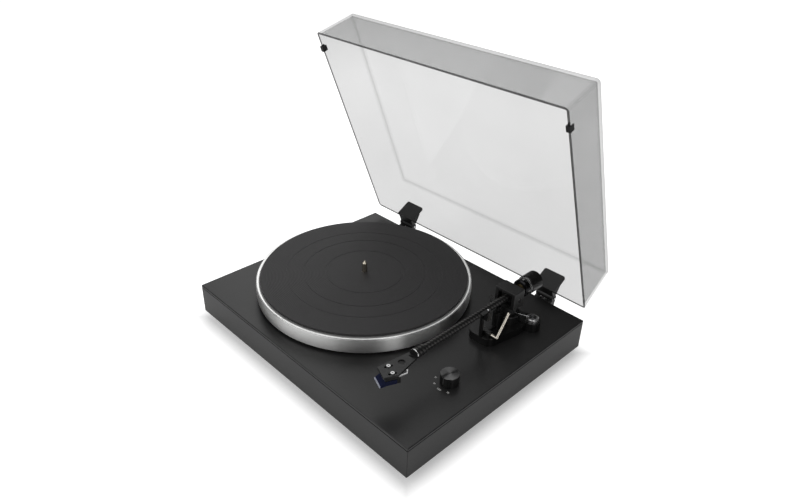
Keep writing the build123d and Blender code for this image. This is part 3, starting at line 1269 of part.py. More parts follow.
with BuildPart() as hinge_pins:
    for x in HINGE_XS:
        pin_l = CLIP_NECK_W + 2 * PIN_OUT
        bar(facing_right(x - pin_l / 2, HINGE_Y, HINGE_Z), PIN_R, pin_l)
finish(hinge_pins, "hinge_pins")

# Torsion springs inside the barrels
spring_l = barrel_w / 2 - 2 * SLIP - 2 * SPRING_WIRE_R
with BuildPart() as hinge_springs:
    for x in HINGE_XS:
        start_x = x - spring_l / 2
        with BuildLine() as coil:
            Helix(
                pitch=spring_l / SPRING_TURNS,
                height=spring_l,
                radius=SPRING_R,
                center=(start_x, HINGE_Y, HINGE_Z),
                direction=(1, 0, 0),
            )
        with BuildSketch(Plane(origin=coil.line @ 0, z_dir=coil.line % 0)) as wire:
            Circle(SPRING_WIRE_R)
        sweep(wire.sketch, path=coil.line)
finish(hinge_springs, "hinge_springs")

# Bumpers: soft clips over the side rims near the front
with BuildPart() as lid_bumpers:
    for side in (-1, 1):
        wall_x = side * (LID_W / 2 - LID_T / 2)
        y = -RIM_BACK - LID_D + BUMPER_FROM_FRONT
        slope = DRAFT_SIDE / LID_H * side
        with BuildSketch(Plane(lid_point(0, y - BUMPER_L / 2, 0), x_dir=LID_X, z_dir=LID_Y)) as bumper:
            with BuildLine():
                half = LID_T / 2 + CLIP_SLOT
                outside_x = wall_x + half
                inside_x = wall_x - half
                Polyline(
                    (inside_x - BUMPER_T - slope * BUMPER_UP, -BUMPER_UP),
                    (inside_x - slope * BUMPER_UP, -BUMPER_UP),
                    (inside_x, RUN),
                    (outside_x, RUN),
                    (outside_x - slope * BUMPER_UP, -BUMPER_UP),
                    (outside_x + BUMPER_T - slope * BUMPER_UP, -BUMPER_UP),
                    (outside_x + BUMPER_T, BUMPER_DOWN),
                    (inside_x - BUMPER_T, BUMPER_DOWN),
                    close=True,
                )
            make_face()
        extrude(bumper.sketch, amount=BUMPER_L)
finish(lid_bumpers, "lid_bumpers")
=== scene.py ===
# %% [markdown]
# # A record deck in a white room
#
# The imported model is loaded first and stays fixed: every solid of it is already in its place, in
# metres, with the origin on the ground under the deck. This script dresses those solids, adds the
# small things that sit on them, and sets the room, the lamps and the camera.

# %% The frame
import json
import math

import bpy
import numpy as np
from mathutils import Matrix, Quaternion, Vector


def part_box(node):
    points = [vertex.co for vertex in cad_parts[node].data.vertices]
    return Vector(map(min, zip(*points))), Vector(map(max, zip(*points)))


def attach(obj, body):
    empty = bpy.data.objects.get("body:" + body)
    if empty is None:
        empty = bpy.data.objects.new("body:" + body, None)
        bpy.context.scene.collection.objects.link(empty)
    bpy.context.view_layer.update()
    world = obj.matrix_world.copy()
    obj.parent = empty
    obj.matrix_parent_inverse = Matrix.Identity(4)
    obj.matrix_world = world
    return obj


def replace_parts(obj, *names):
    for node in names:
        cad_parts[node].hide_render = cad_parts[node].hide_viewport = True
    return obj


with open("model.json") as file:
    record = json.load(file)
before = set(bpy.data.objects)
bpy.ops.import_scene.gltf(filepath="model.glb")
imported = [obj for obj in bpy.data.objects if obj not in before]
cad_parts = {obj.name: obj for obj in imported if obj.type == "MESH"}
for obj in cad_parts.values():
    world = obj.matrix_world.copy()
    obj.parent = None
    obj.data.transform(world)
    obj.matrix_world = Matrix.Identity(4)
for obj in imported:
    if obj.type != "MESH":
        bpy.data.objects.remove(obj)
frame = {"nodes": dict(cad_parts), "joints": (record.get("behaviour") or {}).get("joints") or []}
nodes = frame["nodes"]
joints = {joint["name"]: joint for joint in frame["joints"]}
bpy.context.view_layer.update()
MM = 0.001


def middle(node):
    """The middle of a node's box: (lowest corner + highest corner) / 2."""
    low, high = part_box(node)
    return (low + high) / 2


def give(finish, *names):
    """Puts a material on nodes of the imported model."""
    for name in names:
        nodes[name].data.materials[0] = finish
    print(finish.name, "on", ", ".join(names))


# %% [markdown]
# Every new surface here is a grid: rows of points, each row joined to the next. A grid may close
# on itself along its rows, as a ring does, or along both ways, as a tyre does. Its faces are worked
# out for the whole grid at once, and the points go into the mesh as one array.

# %% Grids into meshes
def grid_faces(rows, columns, ring=False, loop=False):
    """The quads of a grid whose point (r, c) has the number r * columns + c. Each quad is (r, c),
    (r, c + 1), (r + 1, c + 1), (r + 1, c). ring joins the last column to the first, loop the
    last row."""
    r = np.arange(rows if loop else rows - 1)[:, None]
    c = np.arange(columns if ring else columns - 1)[None, :]
    after_r, after_c = (r + 1) % rows, (c + 1) % columns
    corners = [(r, c), (r, after_c), (after_r, after_c), (after_r, c)]
    return np.stack([(row * columns + column).ravel() for row, column in corners], 1)


def enclosed(points, faces):
    """The signed volume inside quads: the sum of a . (b x c) / 6 over both halves of each."""
    a, b, c, d = np.moveaxis(points[faces], 1, 0)
    return np.sum(a * np.cross(b, c) + a * np.cross(c, d)) / 6


def new_piece(name, points, faces, finish, body):
    """A mesh object of these points (in metres, in the frame) and faces, riding on a body."""
    mesh = bpy.data.meshes.new(name)
    mesh.from_pydata(points.tolist(), [], faces)
    mesh.materials.append(finish)
    piece = bpy.data.objects.new(name, mesh)
    bpy.context.scene.collection.objects.link(piece)
    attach(piece, body)
    return piece


def dress(name, surface, finish, body, smooth=True):
    """A closed surface, given as its points and quads, made into a piece. Where the volume inside
    it comes out negative the faces point inwards, and are turned round."""
    points, faces = surface
    points = np.reshape(points, (-1, 3))
    if enclosed(points, faces) < 0:
        faces = faces[:, ::-1]
    print(name, len(faces), "faces,", round(enclosed(points, faces) / MM**3, 2), "mm3")
    piece = new_piece(name, points, faces.tolist(), finish, body)
    piece.data.polygons.foreach_set("use_smooth", np.full(len(faces), smooth))
    piece.data.validate()
    return piece


print("a tyre of 3 by 4 points has", len(grid_faces(3, 4, ring=True, loop=True)), "faces")

# %% [markdown]
# Three kinds of surface serve most of the small pieces. A profile turned round an axis makes rings,
# washers and screw heads. A circle carried along a path makes wires and rods. A thin block, put in
# many places at once, makes lines on a scale.

# %% Turned pieces, tubes and pads
def turned(profile, centre, axis, side, steps=64):
    """A closed turned solid. The profile's points (radius, along) go round the axis through centre:
    point = centre + along * axis + radius * (cos t * side + sin t * (axis x side))."""
    axis = np.array(axis, float)
    side = np.array(side, float)
    other = np.cross(axis, side)
    t = np.linspace(0, 2 * np.pi, steps, endpoint=False)[None, :, None]
    radius, along = np.array(profile, float).T[:, :, None, None]
    points = np.array(centre) + along * axis + radius * (np.cos(t) * side + np.sin(t) * other)
    return points, grid_faces(len(profile), steps, ring=True, loop=True)


def tube(path, radius, steps=10):
    """A round tube along a path that lies in one upright plane, closed by shrinking its ends.
    point = path - radius * (cos t * across + sin t * up), with up = tangent x across."""
    path = np.array(path, float)
    tangent = np.gradient(path, axis=0)
    tangent /= np.linalg.norm(tangent, axis=1, keepdims=True)
    across = np.cross(tangent[len(path) // 2], (0, 0, 1.0))
    across /= np.linalg.norm(across)
    up = np.cross(tangent, across)
    path = np.concatenate([path[:1], path, path[-1:]])
    up = np.concatenate([up[:1], up, up[-1:]])
    thick = np.full(len(path), radius)
    thick[[0, -1]] = radius * 0.05
    t = np.linspace(0, 2 * np.pi, steps, endpoint=False)[None, :, None]
    points = path[:, None] - thick[:, None, None] * (np.cos(t) * across + np.sin(t) * up[:, None])
    return points, grid_faces(len(path), steps, ring=True)


LOOP = [(-1, -1), (1, -1), (1, 1), (-1, 1)]
PAD_CORNERS = np.array([(*pair, level) for level in (0, 1) for pair in LOOP])
PAD_SIDES = [(0, 1, 5, 4), (1, 2, 6, 5), (2, 3, 7, 6), (3, 0, 4, 7)]
PAD_QUADS = np.array([(3, 2, 1, 0), (4, 5, 6, 7), *PAD_SIDES])


def pads(origins, along, across, normal, length, width, thickness):
    """Thin flat blocks, one at each origin: their eight corners are
    origin +- along * length / 2 +- across * width / 2, at 0 and at normal * thickness."""
    origins, along, across, normal = [np.atleast_2d(v) for v in (origins, along, across, normal)]
    a, b, c = [PAD_CORNERS[None, :, i, None] for i in range(3)]
    points = origins[:, None] + a * along[:, None] * length / 2
    points = points + b * across[:, None] * width / 2 + c * normal[:, None] * thickness
    faces = (np.arange(len(points))[:, None, None] * len(PAD_CORNERS) + PAD_QUADS).reshape(-1, 4)
    return points, faces


print("a pad has", len(PAD_CORNERS), "corners and", len(PAD_QUADS), "faces")

# %% [markdown]
# A finish is a small program of nodes. Written as nodes and links it is hard to read, so three
# short classes stand between. The first is an amount: a number that varies over the surface, and
# can be added and multiplied like any number.

# %% Amounts
class Amount:
    """A number that varies over a surface. Sums, products and powers of it add Math nodes."""

    def __init__(self, maker, socket):
        self.maker = maker
        self.socket = socket

    def math(self, operation, *others, clamp=False):
        """One Math node of this and up to two other amounts or plain numbers."""
        settings = {"operation": operation, "use_clamp": clamp}
        return self.maker.amount("ShaderNodeMath", settings, dict(enumerate([self, *others])))

    def __add__(self, other):
        return self.math("ADD", other)

    def __sub__(self, other):
        return self.math("SUBTRACT", other)

    def __mul__(self, other):
        return self.math("MULTIPLY", other)

    def __truediv__(self, other):
        return self.math("DIVIDE", other)

    def __rsub__(self, other):
        return (self * -1) + other

    __radd__ = __add__
    __rmul__ = __mul__

    def __pow__(self, power):
        return self.math("POWER", power)

    def sine(self):
        return self.math("SINE")

    def absolute(self):
        return self.math("ABSOLUTE")

    def above(self, edge, soft):
        """0 below edge - soft / 2, 1 above edge + soft / 2, and straight between."""
        return ((self - edge) / soft + 0.5).math("ADD", 0, clamp=True)


# %% [markdown]
# The second class holds a tree of nodes and adds whatever node is asked for. One method does for
# every kind: it takes the node's settings, then the values or links of its sockets.

# %% Trees of nodes
class Maker:
    """A node tree under construction."""

    def __init__(self, tree):
        self.tree = tree

    def node(self, kind, settings=None, values=None):
        """Adds any node: its settings first, then its sockets' values or links."""
        node = self.tree.nodes.new(kind)
        for name, setting in (settings or {}).items():
            setattr(node, name, setting)
        for socket, value in (values or {}).items():
            self.put(node.inputs[socket], value)
        return node

    def put(self, socket, value):
        """Links an amount or an output to a socket, or sets a plain value there."""
        if isinstance(value, Amount):
            value = value.socket
        if isinstance(value, bpy.types.NodeSocket):
            self.tree.links.new(value, socket)
        else:
            socket.default_value = value

    def amount(self, kind, settings=None, values=None):
        """Adds any node, and wraps its first output."""
        return Amount(self, self.node(kind, settings, values).outputs[0])

    def rays(self):
        """Three amounts that are 1 for camera, glossy and transmitted rays, and else 0."""
        outputs = self.node("ShaderNodeLightPath").outputs
        kinds = ("Camera", "Glossy", "Transmission")
        return [Amount(self, outputs[f"Is {kind} Ray"]) for kind in kinds]


# %% [markdown]
# The third class is a material round one Principled surface. It reads its place in the piece's own
# metres, as x, y and z or round an axis, and it knows the few patterns that most finishes need:
# clouds, rings, a ramp of colours, and a bump.

# %% Finishes
class Finish(Maker):
    """A material around one Principled surface, with its plain numbers set by name."""

    def __init__(self, name, colour, **numbers):
        self.material = bpy.data.materials.new(name)
        self.material.use_nodes = True
        super().__init__(self.material.node_tree)
        self.surface = self.tree.nodes["Principled BSDF"]
        self.surface.inputs["Base Color"].default_value = (*colour, 1)
        for socket, number in numbers.items():
            self.surface.inputs[socket.replace("_", " ")].default_value = number

    def place(self, centre=(0, 0, 0), turn=(0, 0, 0), scale=(1, 1, 1)):
        """Object coordinates moved so that centre is at 0, then turned and scaled."""
        terms = {0: self.node("ShaderNodeTexCoord").outputs["Object"], 1: centre}
        moved = self.node("ShaderNodeVectorMath", {"operation": "SUBTRACT"}, terms).outputs[0]
        values = {"Vector": moved, "Rotation": turn, "Scale": scale}
        return self.node("ShaderNodeMapping", None, values)

    def axes(self, place):
        """The three coordinates of a place, as amounts."""
        split = self.node("ShaderNodeSeparateXYZ", None, {0: place.outputs[0]})
        return [Amount(self, output) for output in split.outputs]

    def polar(self, centre, turn=(0, 0, 0)):
        """The distance to an axis through centre, sqrt(x * x + y * y), and the height z on it."""
        x, y, z = self.axes(self.place(centre, turn))
        return (x * x + y * y) ** 0.5, z

    def noise(self, scale, detail=2.0, stretch=(1, 1, 1)):
        """Cloudy noise around 0.5, with about scale patches to the metre."""
        values = {"Vector": self.place(scale=stretch).outputs[0], "Scale": scale, "Detail": detail}
        return self.amount("ShaderNodeTexNoise", None, values)

    def rings(self, distance, pitch):
        """Noise around 0.5 that changes only with the distance, about once for each pitch."""
        values = {"W": distance / pitch, "Scale": 1.0, "Detail": 2.0}
        return self.amount("ShaderNodeTexNoise", {"noise_dimensions": "1D"}, values)

    def colours(self, factor, stops):
        """A colour ramp read by an amount: stops are (position, colour)."""
        ramp = self.node("ShaderNodeValToRGB", None, {0: factor})
        elements = ramp.color_ramp.elements
        while len(elements) < len(stops):
            elements.new(0.5)
        for element, (position, colour) in zip(elements, stops):
            element.position = position
            element.color = (*colour, 1)
        return ramp.outputs[0]

    def feed(self, **links):
        """Links amounts or colours to the surface's own sockets."""
        for socket, value in links.items():
            self.put(self.surface.inputs[socket.replace("_", " ")], value)
        return self

    def bump(self, height, distance):
        """Raises the surface by height * distance, in metres."""
        values = {"Height": height, "Distance": distance, "Strength": 1.0}
        return self.feed(Normal=self.node("ShaderNodeBump", None, values).outputs[0])


def wear(colour, amount=0.12):
    """Two shades of a colour for a ramp: a little darker and a little lighter."""
    return [(0.3, [c * (1 - amount) for c in colour]), (0.7, [c * (1 + amount) for c in colour])]


print("two shades of a middle grey:", wear((0.5, 0.5, 0.5)))


# %% [markdown]
# The case is lacquered satin black. Up close such a lacquer has a fine orange-peel grain and its
# gloss drifts from place to place, which is what keeps a large dark face from looking like a hole.
# Noise at two sizes gives both: fine for the bump, broad for the roughness and the shade.

# %% Black lacquer and moulded black
def grained(name, colour, roughness, grain, depth, drift=0.08, **numbers):
    """A painted or moulded finish: fine grain in the bump, broad drift in gloss and shade."""
    finish = Finish(name, colour, **numbers)
    broad = finish.noise(9, 3)
    fine = finish.noise(grain, 2)
    finish.feed(
        Base_Color=finish.colours(broad, wear(colour)),
        Roughness=roughness + (broad - 0.5) * drift + (fine - 0.5) * drift,
    )
    return finish.bump(fine, depth).material


lacquer = grained("satin_lacquer", (0.014, 0.014, 0.014), 0.36, 2600, 0.00002)
coated = grained("coated_metal", (0.007, 0.007, 0.007), 0.24, 4200, 0.00001)
moulded = grained("moulded_black", (0.007, 0.007, 0.007), 0.30, 3200, 0.00001)
leaf_black = grained("hinge_black", (0.022, 0.022, 0.022), 0.34, 3600, 0.00003)
yoke_black = grained("yoke_black", (0.016, 0.016, 0.016), 0.30, 3600, 0.00002)
pad_rubber = grained("pad_rubber", (0.012, 0.012, 0.012), 0.60, 1500, 0.00010)
give(lacquer, "plinth", "deck_plate")
give(coated, "bottom_cover", "rear_panel", "arm_hub", "counterweight", "headshell", "lift_bar")
give(moulded, "feet", "arm_base", "lift_housing", "rest_post", "rest_clip", "jack_rings")
give(moulded, "power_socket", "board_parts", "cartridge")
give(leaf_black, "hinge_clips", "hinge_bases")
give(yoke_black, "arm_yoke")
give(pad_rubber, "foot_pads", "lid_bumpers")

# %% [markdown]
# The platter and the other turned pieces carry the marks of the lathe: very fine rings round their
# own axis. On the platter's side the rings run level, so a reflection smears upright into broad
# soft bands. The rings are a noise of one number only, the distance to the axis plus the height, so
# they run round on the flat top and level on the side. Anisotropic smears the highlight: left alone
# it lies along the rings, and a quarter turn sets it across them, as the marks of a tool do.

# %% Turned metals
RING_PITCH = 0.4 * MM
RING_DEPTH = 0.002 * MM
QUARTER = 0.25  # of a turn
ALONG_Y = (math.pi / 2, 0, 0)


def lathe(name, colour, roughness, centre, turn=(0, 0, 0), **numbers):
    """A turned metal. Its rings are a noise of radius + z, with radius = sqrt(x * x + y * y)."""
    finish = Finish(name, colour, Metallic=1.0, **numbers)
    radius, z = finish.polar(centre, turn)
    ring = finish.rings(radius + z, RING_PITCH)
    cloud = finish.noise(30)
    finish.feed(
        Base_Color=finish.colours(ring, wear(colour, 0.06)),
        Roughness=roughness + (ring - 0.5) * 0.12 + (cloud - 0.5) * 0.06,
    )
    return finish.bump(ring, RING_DEPTH).material


def joint_place(name):
    """Where a joint's axis passes."""
    return Vector(joints[name]["pos_m"])


spindle = joint_place("platter_spin")
pivot = joint_place("arm_tilt")
knob_axis = joint_place("speed_select")
skate_axis = joint_place("antiskate_set")
hinge_axis = joint_place("lid_hinge")
ALLOY = (0.80, 0.80, 0.79)
BRASS = (0.72, 0.56, 0.28)
platter_top = lathe(
    "turned_platter", ALLOY, 0.56, spindle, Anisotropic=0.96, Anisotropic_Rotation=QUARTER
)
give(platter_top, "platter")
give(lathe("polished_spindle", (0.72, 0.66, 0.55), 0.14, spindle), "spindle_shaft")
give(lathe("turned_brass", BRASS, 0.25, spindle), "bearing_housing", "bearing_bushes")
give(lathe("steel_disc", (0.55, 0.55, 0.56), 0.35, spindle), "motor_base", "rotor_cup")
give(lathe("bush_brass", BRASS, 0.25, pivot, ALONG_Y), "weight_bush")
give(lathe("dial_alloy", (0.75, 0.75, 0.75), 0.30, skate_axis), "antiskate_dial")

# %% [markdown]
# Screws, pins, springs and wires are drawn or plated, not turned. Noise that is stretched along one
# direction gives them faint scratches, in the bump as well as in the gloss.

# %% Drawn and plated metals
def plain_metal(name, colour, roughness, grain=900):
    """A metal with faint scratches: noise stretched along X in the bump, and in the roughness."""
    finish = Finish(name, colour, Metallic=1.0)
    scratch = finish.noise(grain, 3, (0.1, 1, 1))
    finish.feed(
        Base_Color=finish.colours(scratch, wear(colour, 0.08)),
        Roughness=roughness + (scratch - 0.5) * 0.15,
    )
    return finish.bump(scratch, 0.00001).material


bright_steel = plain_metal("bright_steel", (0.62, 0.62, 0.63), 0.22)
chrome = plain_metal("chrome", (0.82, 0.82, 0.82), 0.08)
give(bright_steel, "case_screws", "foot_screws", "stator_core", "board_spacers", "arm_base_nut")
give(bright_steel, "pivot_bearings", "ground_post", "speed_switch", "switch_shaft", "cantilever")
give(bright_steel, "hinge_pins", "hinge_springs")
give(chrome, "thrust_ball", "yoke_screws", "cartridge_screws", "finger_lift")
give(plain_metal("plated_brass", (0.74, 0.60, 0.32), 0.18), "phono_jacks")
give(plain_metal("warm_nickel", (0.86, 0.80, 0.70), 0.2, grain=4000), "cue_lever")

# %% [markdown]
# The mat is moulded rubber. A record lies on it, so its face is cut with fine rings that grip and
# let air out, and three wider ones are in the solid itself. The fine rings are a sine of the
# distance to the spindle. In the wide ones the rubber is painted paler, a painted lightening that
# offsets the shade that falls in them.

# %% The rubber mat
GROOVE_PITCH = 1.9 * MM
GROOVES_FROM, GROOVES_TO = 50 * MM, 138 * MM


def mat_rubber():
    """ring = sin(2 pi radius / pitch) from 50 to 138 mm; groove_painted_light = 1 below the mat's
    upper face, where the colour is painted paler against the grooves' shade.
    """
    colour = (0.024, 0.023, 0.024)
    finish = Finish("mat_rubber", colour)
    radius, z = finish.polar(spindle)
    groove_painted_light = 1 - z.above(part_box("platter_mat")[1].z - spindle.z - 0.1 * MM, 0.1 * MM)
    cut = radius.above(GROOVES_FROM, 1 * MM) * (1 - radius.above(GROOVES_TO, 1 * MM))
    ring = (radius * (2 * math.pi / GROOVE_PITCH)).sine() * cut
    speck = finish.noise(1400, 3)
    cloud = finish.noise(12, 3)
    # painted light: the wide grooves are made paler to offset the shade that falls in them
    shade = cloud * 0.4 + speck * 0.3 + ring * 0.12 + 0.15 + groove_painted_light * 0.35
    finish.feed(
        Base_Color=finish.colours(shade, wear(colour, 0.22)),
        Roughness=0.56 + (speck - 0.5) * 0.2 - ring * 0.05,
    )
    return finish.bump(ring * 0.5 + speck * 0.3, 0.00009).material


give(mat_rubber(), "platter_mat")

# %% [markdown]
# The tonearm's tube and its locking collar are wound from carbon cloth under clear lacquer. The
# cloth is a twill: bundles of fibre cross each other, and each catches the light its own way. That
# sheen is partly real gloss and partly painted: the raised bundles are paler in colour. Unrolled,
# the tube is a flat strip of width 2 pi r, so the pattern is drawn there: two sine waves along two
# slanting lines of the strip, multiplied, give rows of raised bundles.

# %% Woven carbon
TUBE_R = 4.75 * MM
CELLS_ROUND = 6


def woven():
    """Twill on the tube. a = cells * angle / 2 and b = pi * y / cell, where a cell is the tube's
    girth over cells; weave = sin(1.5 a + b) * sin(0.5 a - b) is positive on the raised bundles."""
    dark, light = (0.007, 0.007, 0.007), (0.095, 0.092, 0.090)
    gloss = {"Coat_Weight": 0.2, "Coat_Roughness": 0.12, "Specular_IOR_Level": 0.2}
    finish = Finish("woven_carbon", dark, **gloss)
    x, y, z = finish.axes(finish.place(pivot))
    a = z.math("ARCTAN2", x) * (CELLS_ROUND / 2)
    b = y * (CELLS_ROUND / (2 * TUBE_R))
    weave = (a * 1.5 + b).sine() * (a * 0.5 - b).sine()
    thread = finish.noise(2500, 2)
    raised = weave.above(0.22, 0.4) * (0.6 + thread * 0.6)
    # painted sheen: the raised bundles are paler in colour; their metallic and roughness give real
    # gloss
    finish.feed(
        Base_Color=finish.colours(raised, [(0.1, dark), (0.9, light)]),
        Roughness=0.60 - raised * 0.25,
        Metallic=raised * 0.7,
    )
    return finish.bump(weave, 0.00006).material


carbon = woven()
give(carbon, "arm_tube", "headshell_collar")

# %% [markdown]
# The cover is clear acrylic, three millimetres thick, with a light grey tint. Each face that a look
# passes through takes a quarter of the light, so the walls, with the top behind them, come out
# darker than the top alone. Where two walls meet, and at the cut rim, the look runs along inside
# the sheet and more of it is lost: those are the dark outlines that make a clear box readable. So
# the opacity is worked out from how deep a point lies inside the cover's walls.

# %% The clear cover
COVER_H = 63 * MM
COVER_DEPTH = 332 * MM
COVER_BACK = 12.5 * MM
LEAN_SIDE, LEAN_FRONT, LEAN_BACK = 3.3 * MM, 4.9 * MM, 10.4 * MM
ACRYLIC = (0.050, 0.056, 0.054)
ON_FACE, IN_CORNER, ON_OUTLINE, ON_RIM = 0.275, 0.325, 0.38, 0.85


def clear_cover():
    """u and v are the distances along the closed cover and above its rim. The depths inside the
    top, the sides, the front and the back are straight functions of x, u and v. A corner is where
    the top's is under 5 mm and a wall's under 7 mm: a look through it stays in the solid and meets
    two faces instead of four. An outline is where both are under 1.5 mm."""
    opened = -math.radians(joints["lid_hinge"]["range_deg"][0])
    half_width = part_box("dust_cover")[1].x
    finish = Finish("clear_cover", ACRYLIC, IOR=1.5, Specular_IOR_Level=0.6)
    x, y, z = finish.axes(finish.place(hinge_axis))
    u = y * math.cos(opened) - z * math.sin(opened)
    v = y * math.sin(opened) + z * math.cos(opened)
    rise = v / COVER_H
    top = COVER_H - v
    side = half_width - x.absolute() - rise * LEAN_SIDE
    front = u + (COVER_BACK + COVER_DEPTH) - rise * LEAN_FRONT
    back = -COVER_BACK - u - rise * LEAN_BACK
    wall = side.math("MINIMUM", front).math("MINIMUM", back)
    corner = (1 - top.above(5.0 * MM, 0.8 * MM)) * (1 - wall.above(7.0 * MM, 0.8 * MM))
    outline = (1 - top.above(1.5 * MM, 0.6 * MM)) * (1 - wall.above(1.5 * MM, 0.6 * MM))
    rim = 1 - v.above(0.35 * MM, 0.2 * MM)
    dark = outline.math("MAXIMUM", rim)
    haze = finish.noise(7, 3)
    sheet = ON_FACE + corner * (IN_CORNER - ON_FACE) + (haze - 0.5) * 0.05
    opacity = sheet * (1 - dark) + outline * ON_OUTLINE + rim * ON_RIM
    finish.feed(
        Base_Color=finish.colours(dark, [(0.0, ACRYLIC), (1.0, (0.012, 0.012, 0.012))]),
        Alpha=opacity.math("MINIMUM", 1),
        Roughness=0.02 + haze * 0.03 + dark * 0.5,
    )
    return finish.material


give(clear_cover(), "dust_cover")

# %% [markdown]
# The pieces inside the case are out of sight until someone opens it, but they have their own
# finishes too: enamelled copper with the winding's turns showing in its bump and in painted shade
# between them, green circuit board with its tracks, and a dark sintered magnet.

# %% Windings, boards and magnet
WIRE_PITCH = 0.45 * MM


def wound_copper():
    """The turns of the wire lie one above another: ridge = |sin(pi * z / pitch)|. Where ridge falls
    to 0, between turns, the colour is painted dark: painted shade in the creases.
    """
    dark, light = (0.25, 0.09, 0.03), (0.72, 0.34, 0.16)
    finish = Finish("copper_winding", light, Metallic=1.0)
    _, _, z = finish.axes(finish.place())
    ridge = (z * (math.pi / WIRE_PITCH)).sine().absolute()
    cloud = finish.noise(60)
    finish.feed(
        # painted shade: the colour darkens in the creases between turns
        Base_Color=finish.colours(ridge * 0.8 + cloud * 0.2, [(0.1, dark), (0.8, light)]),
        Roughness=0.28 + (cloud - 0.5) * 0.1,
    )
    return finish.bump(ridge, 0.00006).material


def board_green():
    """Tracks in a Voronoi's cell walls, paler and a little raised, on dark green lacquer."""
    finish = Finish("board_green", (0.02, 0.10, 0.05))
    place = finish.place(scale=(1, 1, 0.01))
    cell = finish.amount(
        "ShaderNodeTexVoronoi",
        {"feature": "DISTANCE_TO_EDGE", "distance": "EUCLIDEAN"},
        {"Vector": place.outputs[0], "Scale": 160.0},
    )
    track = 1 - cell.above(0.08, 0.05)
    finish.feed(
        Base_Color=finish.colours(track, [(0.0, (0.015, 0.09, 0.045)), (1.0, (0.05, 0.20, 0.09))]),
        Roughness=0.32 + track * 0.1,
    )
    return finish.bump(track, 0.00004).material


give(wound_copper(), "stator_coils")
give(board_green(), "motor_board", "control_board")
give(grained("sintered_magnet", (0.05, 0.05, 0.055), 0.6, 2400, 0.00008), "rotor_magnet")

# %% [markdown]
# The knob and the ring of the counterweight are black. The knob's ribbed side is gloss black, and
# its flat top is bare turned alloy, anodised dark: the marks of the tool run round the axis, so
# light smears across them and the top shows the two bright fans that every turned disc has. A thin
# grey line on the ribs shows where the knob points.

# %% Knob, dial ring and paint
KNOB_SIDE, KNOB_FACE = (0.008, 0.008, 0.008), (0.17, 0.17, 0.17)
knob_low, knob_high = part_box("speed_knob")


def knob_black():
    """face = 1 within 0.3 mm of the top: gloss black on the side turns into dark alloy there."""
    finish = Finish("knob_black", KNOB_SIDE, Anisotropic=0.96, Anisotropic_Rotation=QUARTER)
    radius, z = finish.polar(knob_axis)
    face = z.above(knob_high.z - knob_axis.z - 0.3 * MM, 0.2 * MM)
    ring = finish.rings(radius, RING_PITCH)
    finish.feed(
        Base_Color=finish.colours(face, [(0.0, KNOB_SIDE), (1.0, KNOB_FACE)]),
        Roughness=0.30 + (ring - 0.5) * 0.1,
        Metallic=face,
    )
    return finish.bump(ring * face, RING_DEPTH).material


give(knob_black(), "speed_knob")
give(lathe("ring_black", (0.030, 0.030, 0.032), 0.22, pivot, ALONG_Y), "weight_dial")
white_paint = grained("white_paint", (0.80, 0.80, 0.78), 0.5, 3000, 0.00001)
grey_paint = grained("grey_paint", (0.10, 0.10, 0.10), 0.5, 3000, 0.00001)

knob_r = (knob_high.x - knob_low.x) / 2
line_low, line_high = knob_low.z + 3 * MM, knob_high.z - 0.6 * MM
line_at = (knob_axis.x, knob_axis.y - knob_r + 0.45 * MM, (line_low + line_high) / 2)
line = pads(
    line_at, (0, 0, 1), (1, 0, 0), (0, -1, 0),
    length=line_high - line_low, width=0.7 * MM, thickness=0.4 * MM,
)
dress("knob_line", line, grey_paint, "knob", smooth=False)

# %% [markdown]
# Numbers are printed on the deck round the knob and on the counterweight's ring: plain figures, as
# on any such deck. Blender's text is turned into a mesh, and its points are then carried as one
# array to where they belong: flat on the deck, or rolled round the ring.

# %% Printed figures
FIGURE_SHARE = 0.7  # of the text's size that a figure is high
BOLDER = 0.012
PRINT_LIFT = 0.04 * MM


def figures(text, height):
    """The mesh points (flat, centred, in metres) and polygons of a short text."""
    curve = bpy.data.curves.new("figures", "FONT")
    curve.body = text
    curve.size = height / FIGURE_SHARE
    curve.align_x = "CENTER"
    curve.align_y = "CENTER"
    curve.offset = height * BOLDER
    holder = bpy.data.objects.new("figures", curve)
    bpy.context.scene.collection.objects.link(holder)
    shaped = holder.evaluated_get(bpy.context.evaluated_depsgraph_get())
    flat = bpy.data.meshes.new_from_object(shaped)
    points = np.zeros(len(flat.vertices) * 3)
    flat.vertices.foreach_get("co", points)
    polygons = [list(polygon.vertices) for polygon in flat.polygons]
    bpy.data.objects.remove(holder)
    bpy.data.meshes.remove(flat)
    return points.reshape(-1, 3), polygons


def print_flat(name, text, height, centre, body):
    """Lays figures on a level face: point = centre + (x, y, lift)."""
    flat, polygons = figures(text, height)
    points = np.array(centre) + flat * (1, 1, 0) + (0, 0, PRINT_LIFT)
    new_piece(name, points, polygons, white_paint, body)


deck_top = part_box("deck_plate")[1].z
MARKS = {"33": 198, "45": 234, "OFF": 270, "78": 306}  # each at its angle in degrees
MARK_R = 18.2 * MM
for text, degrees in MARKS.items():
    turn = math.radians(degrees)
    across, along = MARK_R * math.cos(turn), MARK_R * math.sin(turn)
    mark_at = (knob_axis.x + across, knob_axis.y + along, deck_top)
    print_flat(f"mark_{text}", text, 2.3 * MM, mark_at, "chassis")
print(list(MARKS), "at", MARK_R, "m from the knob's axis")

# %% [markdown]
# The ring in front of the counterweight is a scale in grams: a short line for every tenth, and a
# figure at each whole one. A thin bright ring parts it from the weight. Both are worked out round
# the arm's axis, the lines as forty little pads at once.

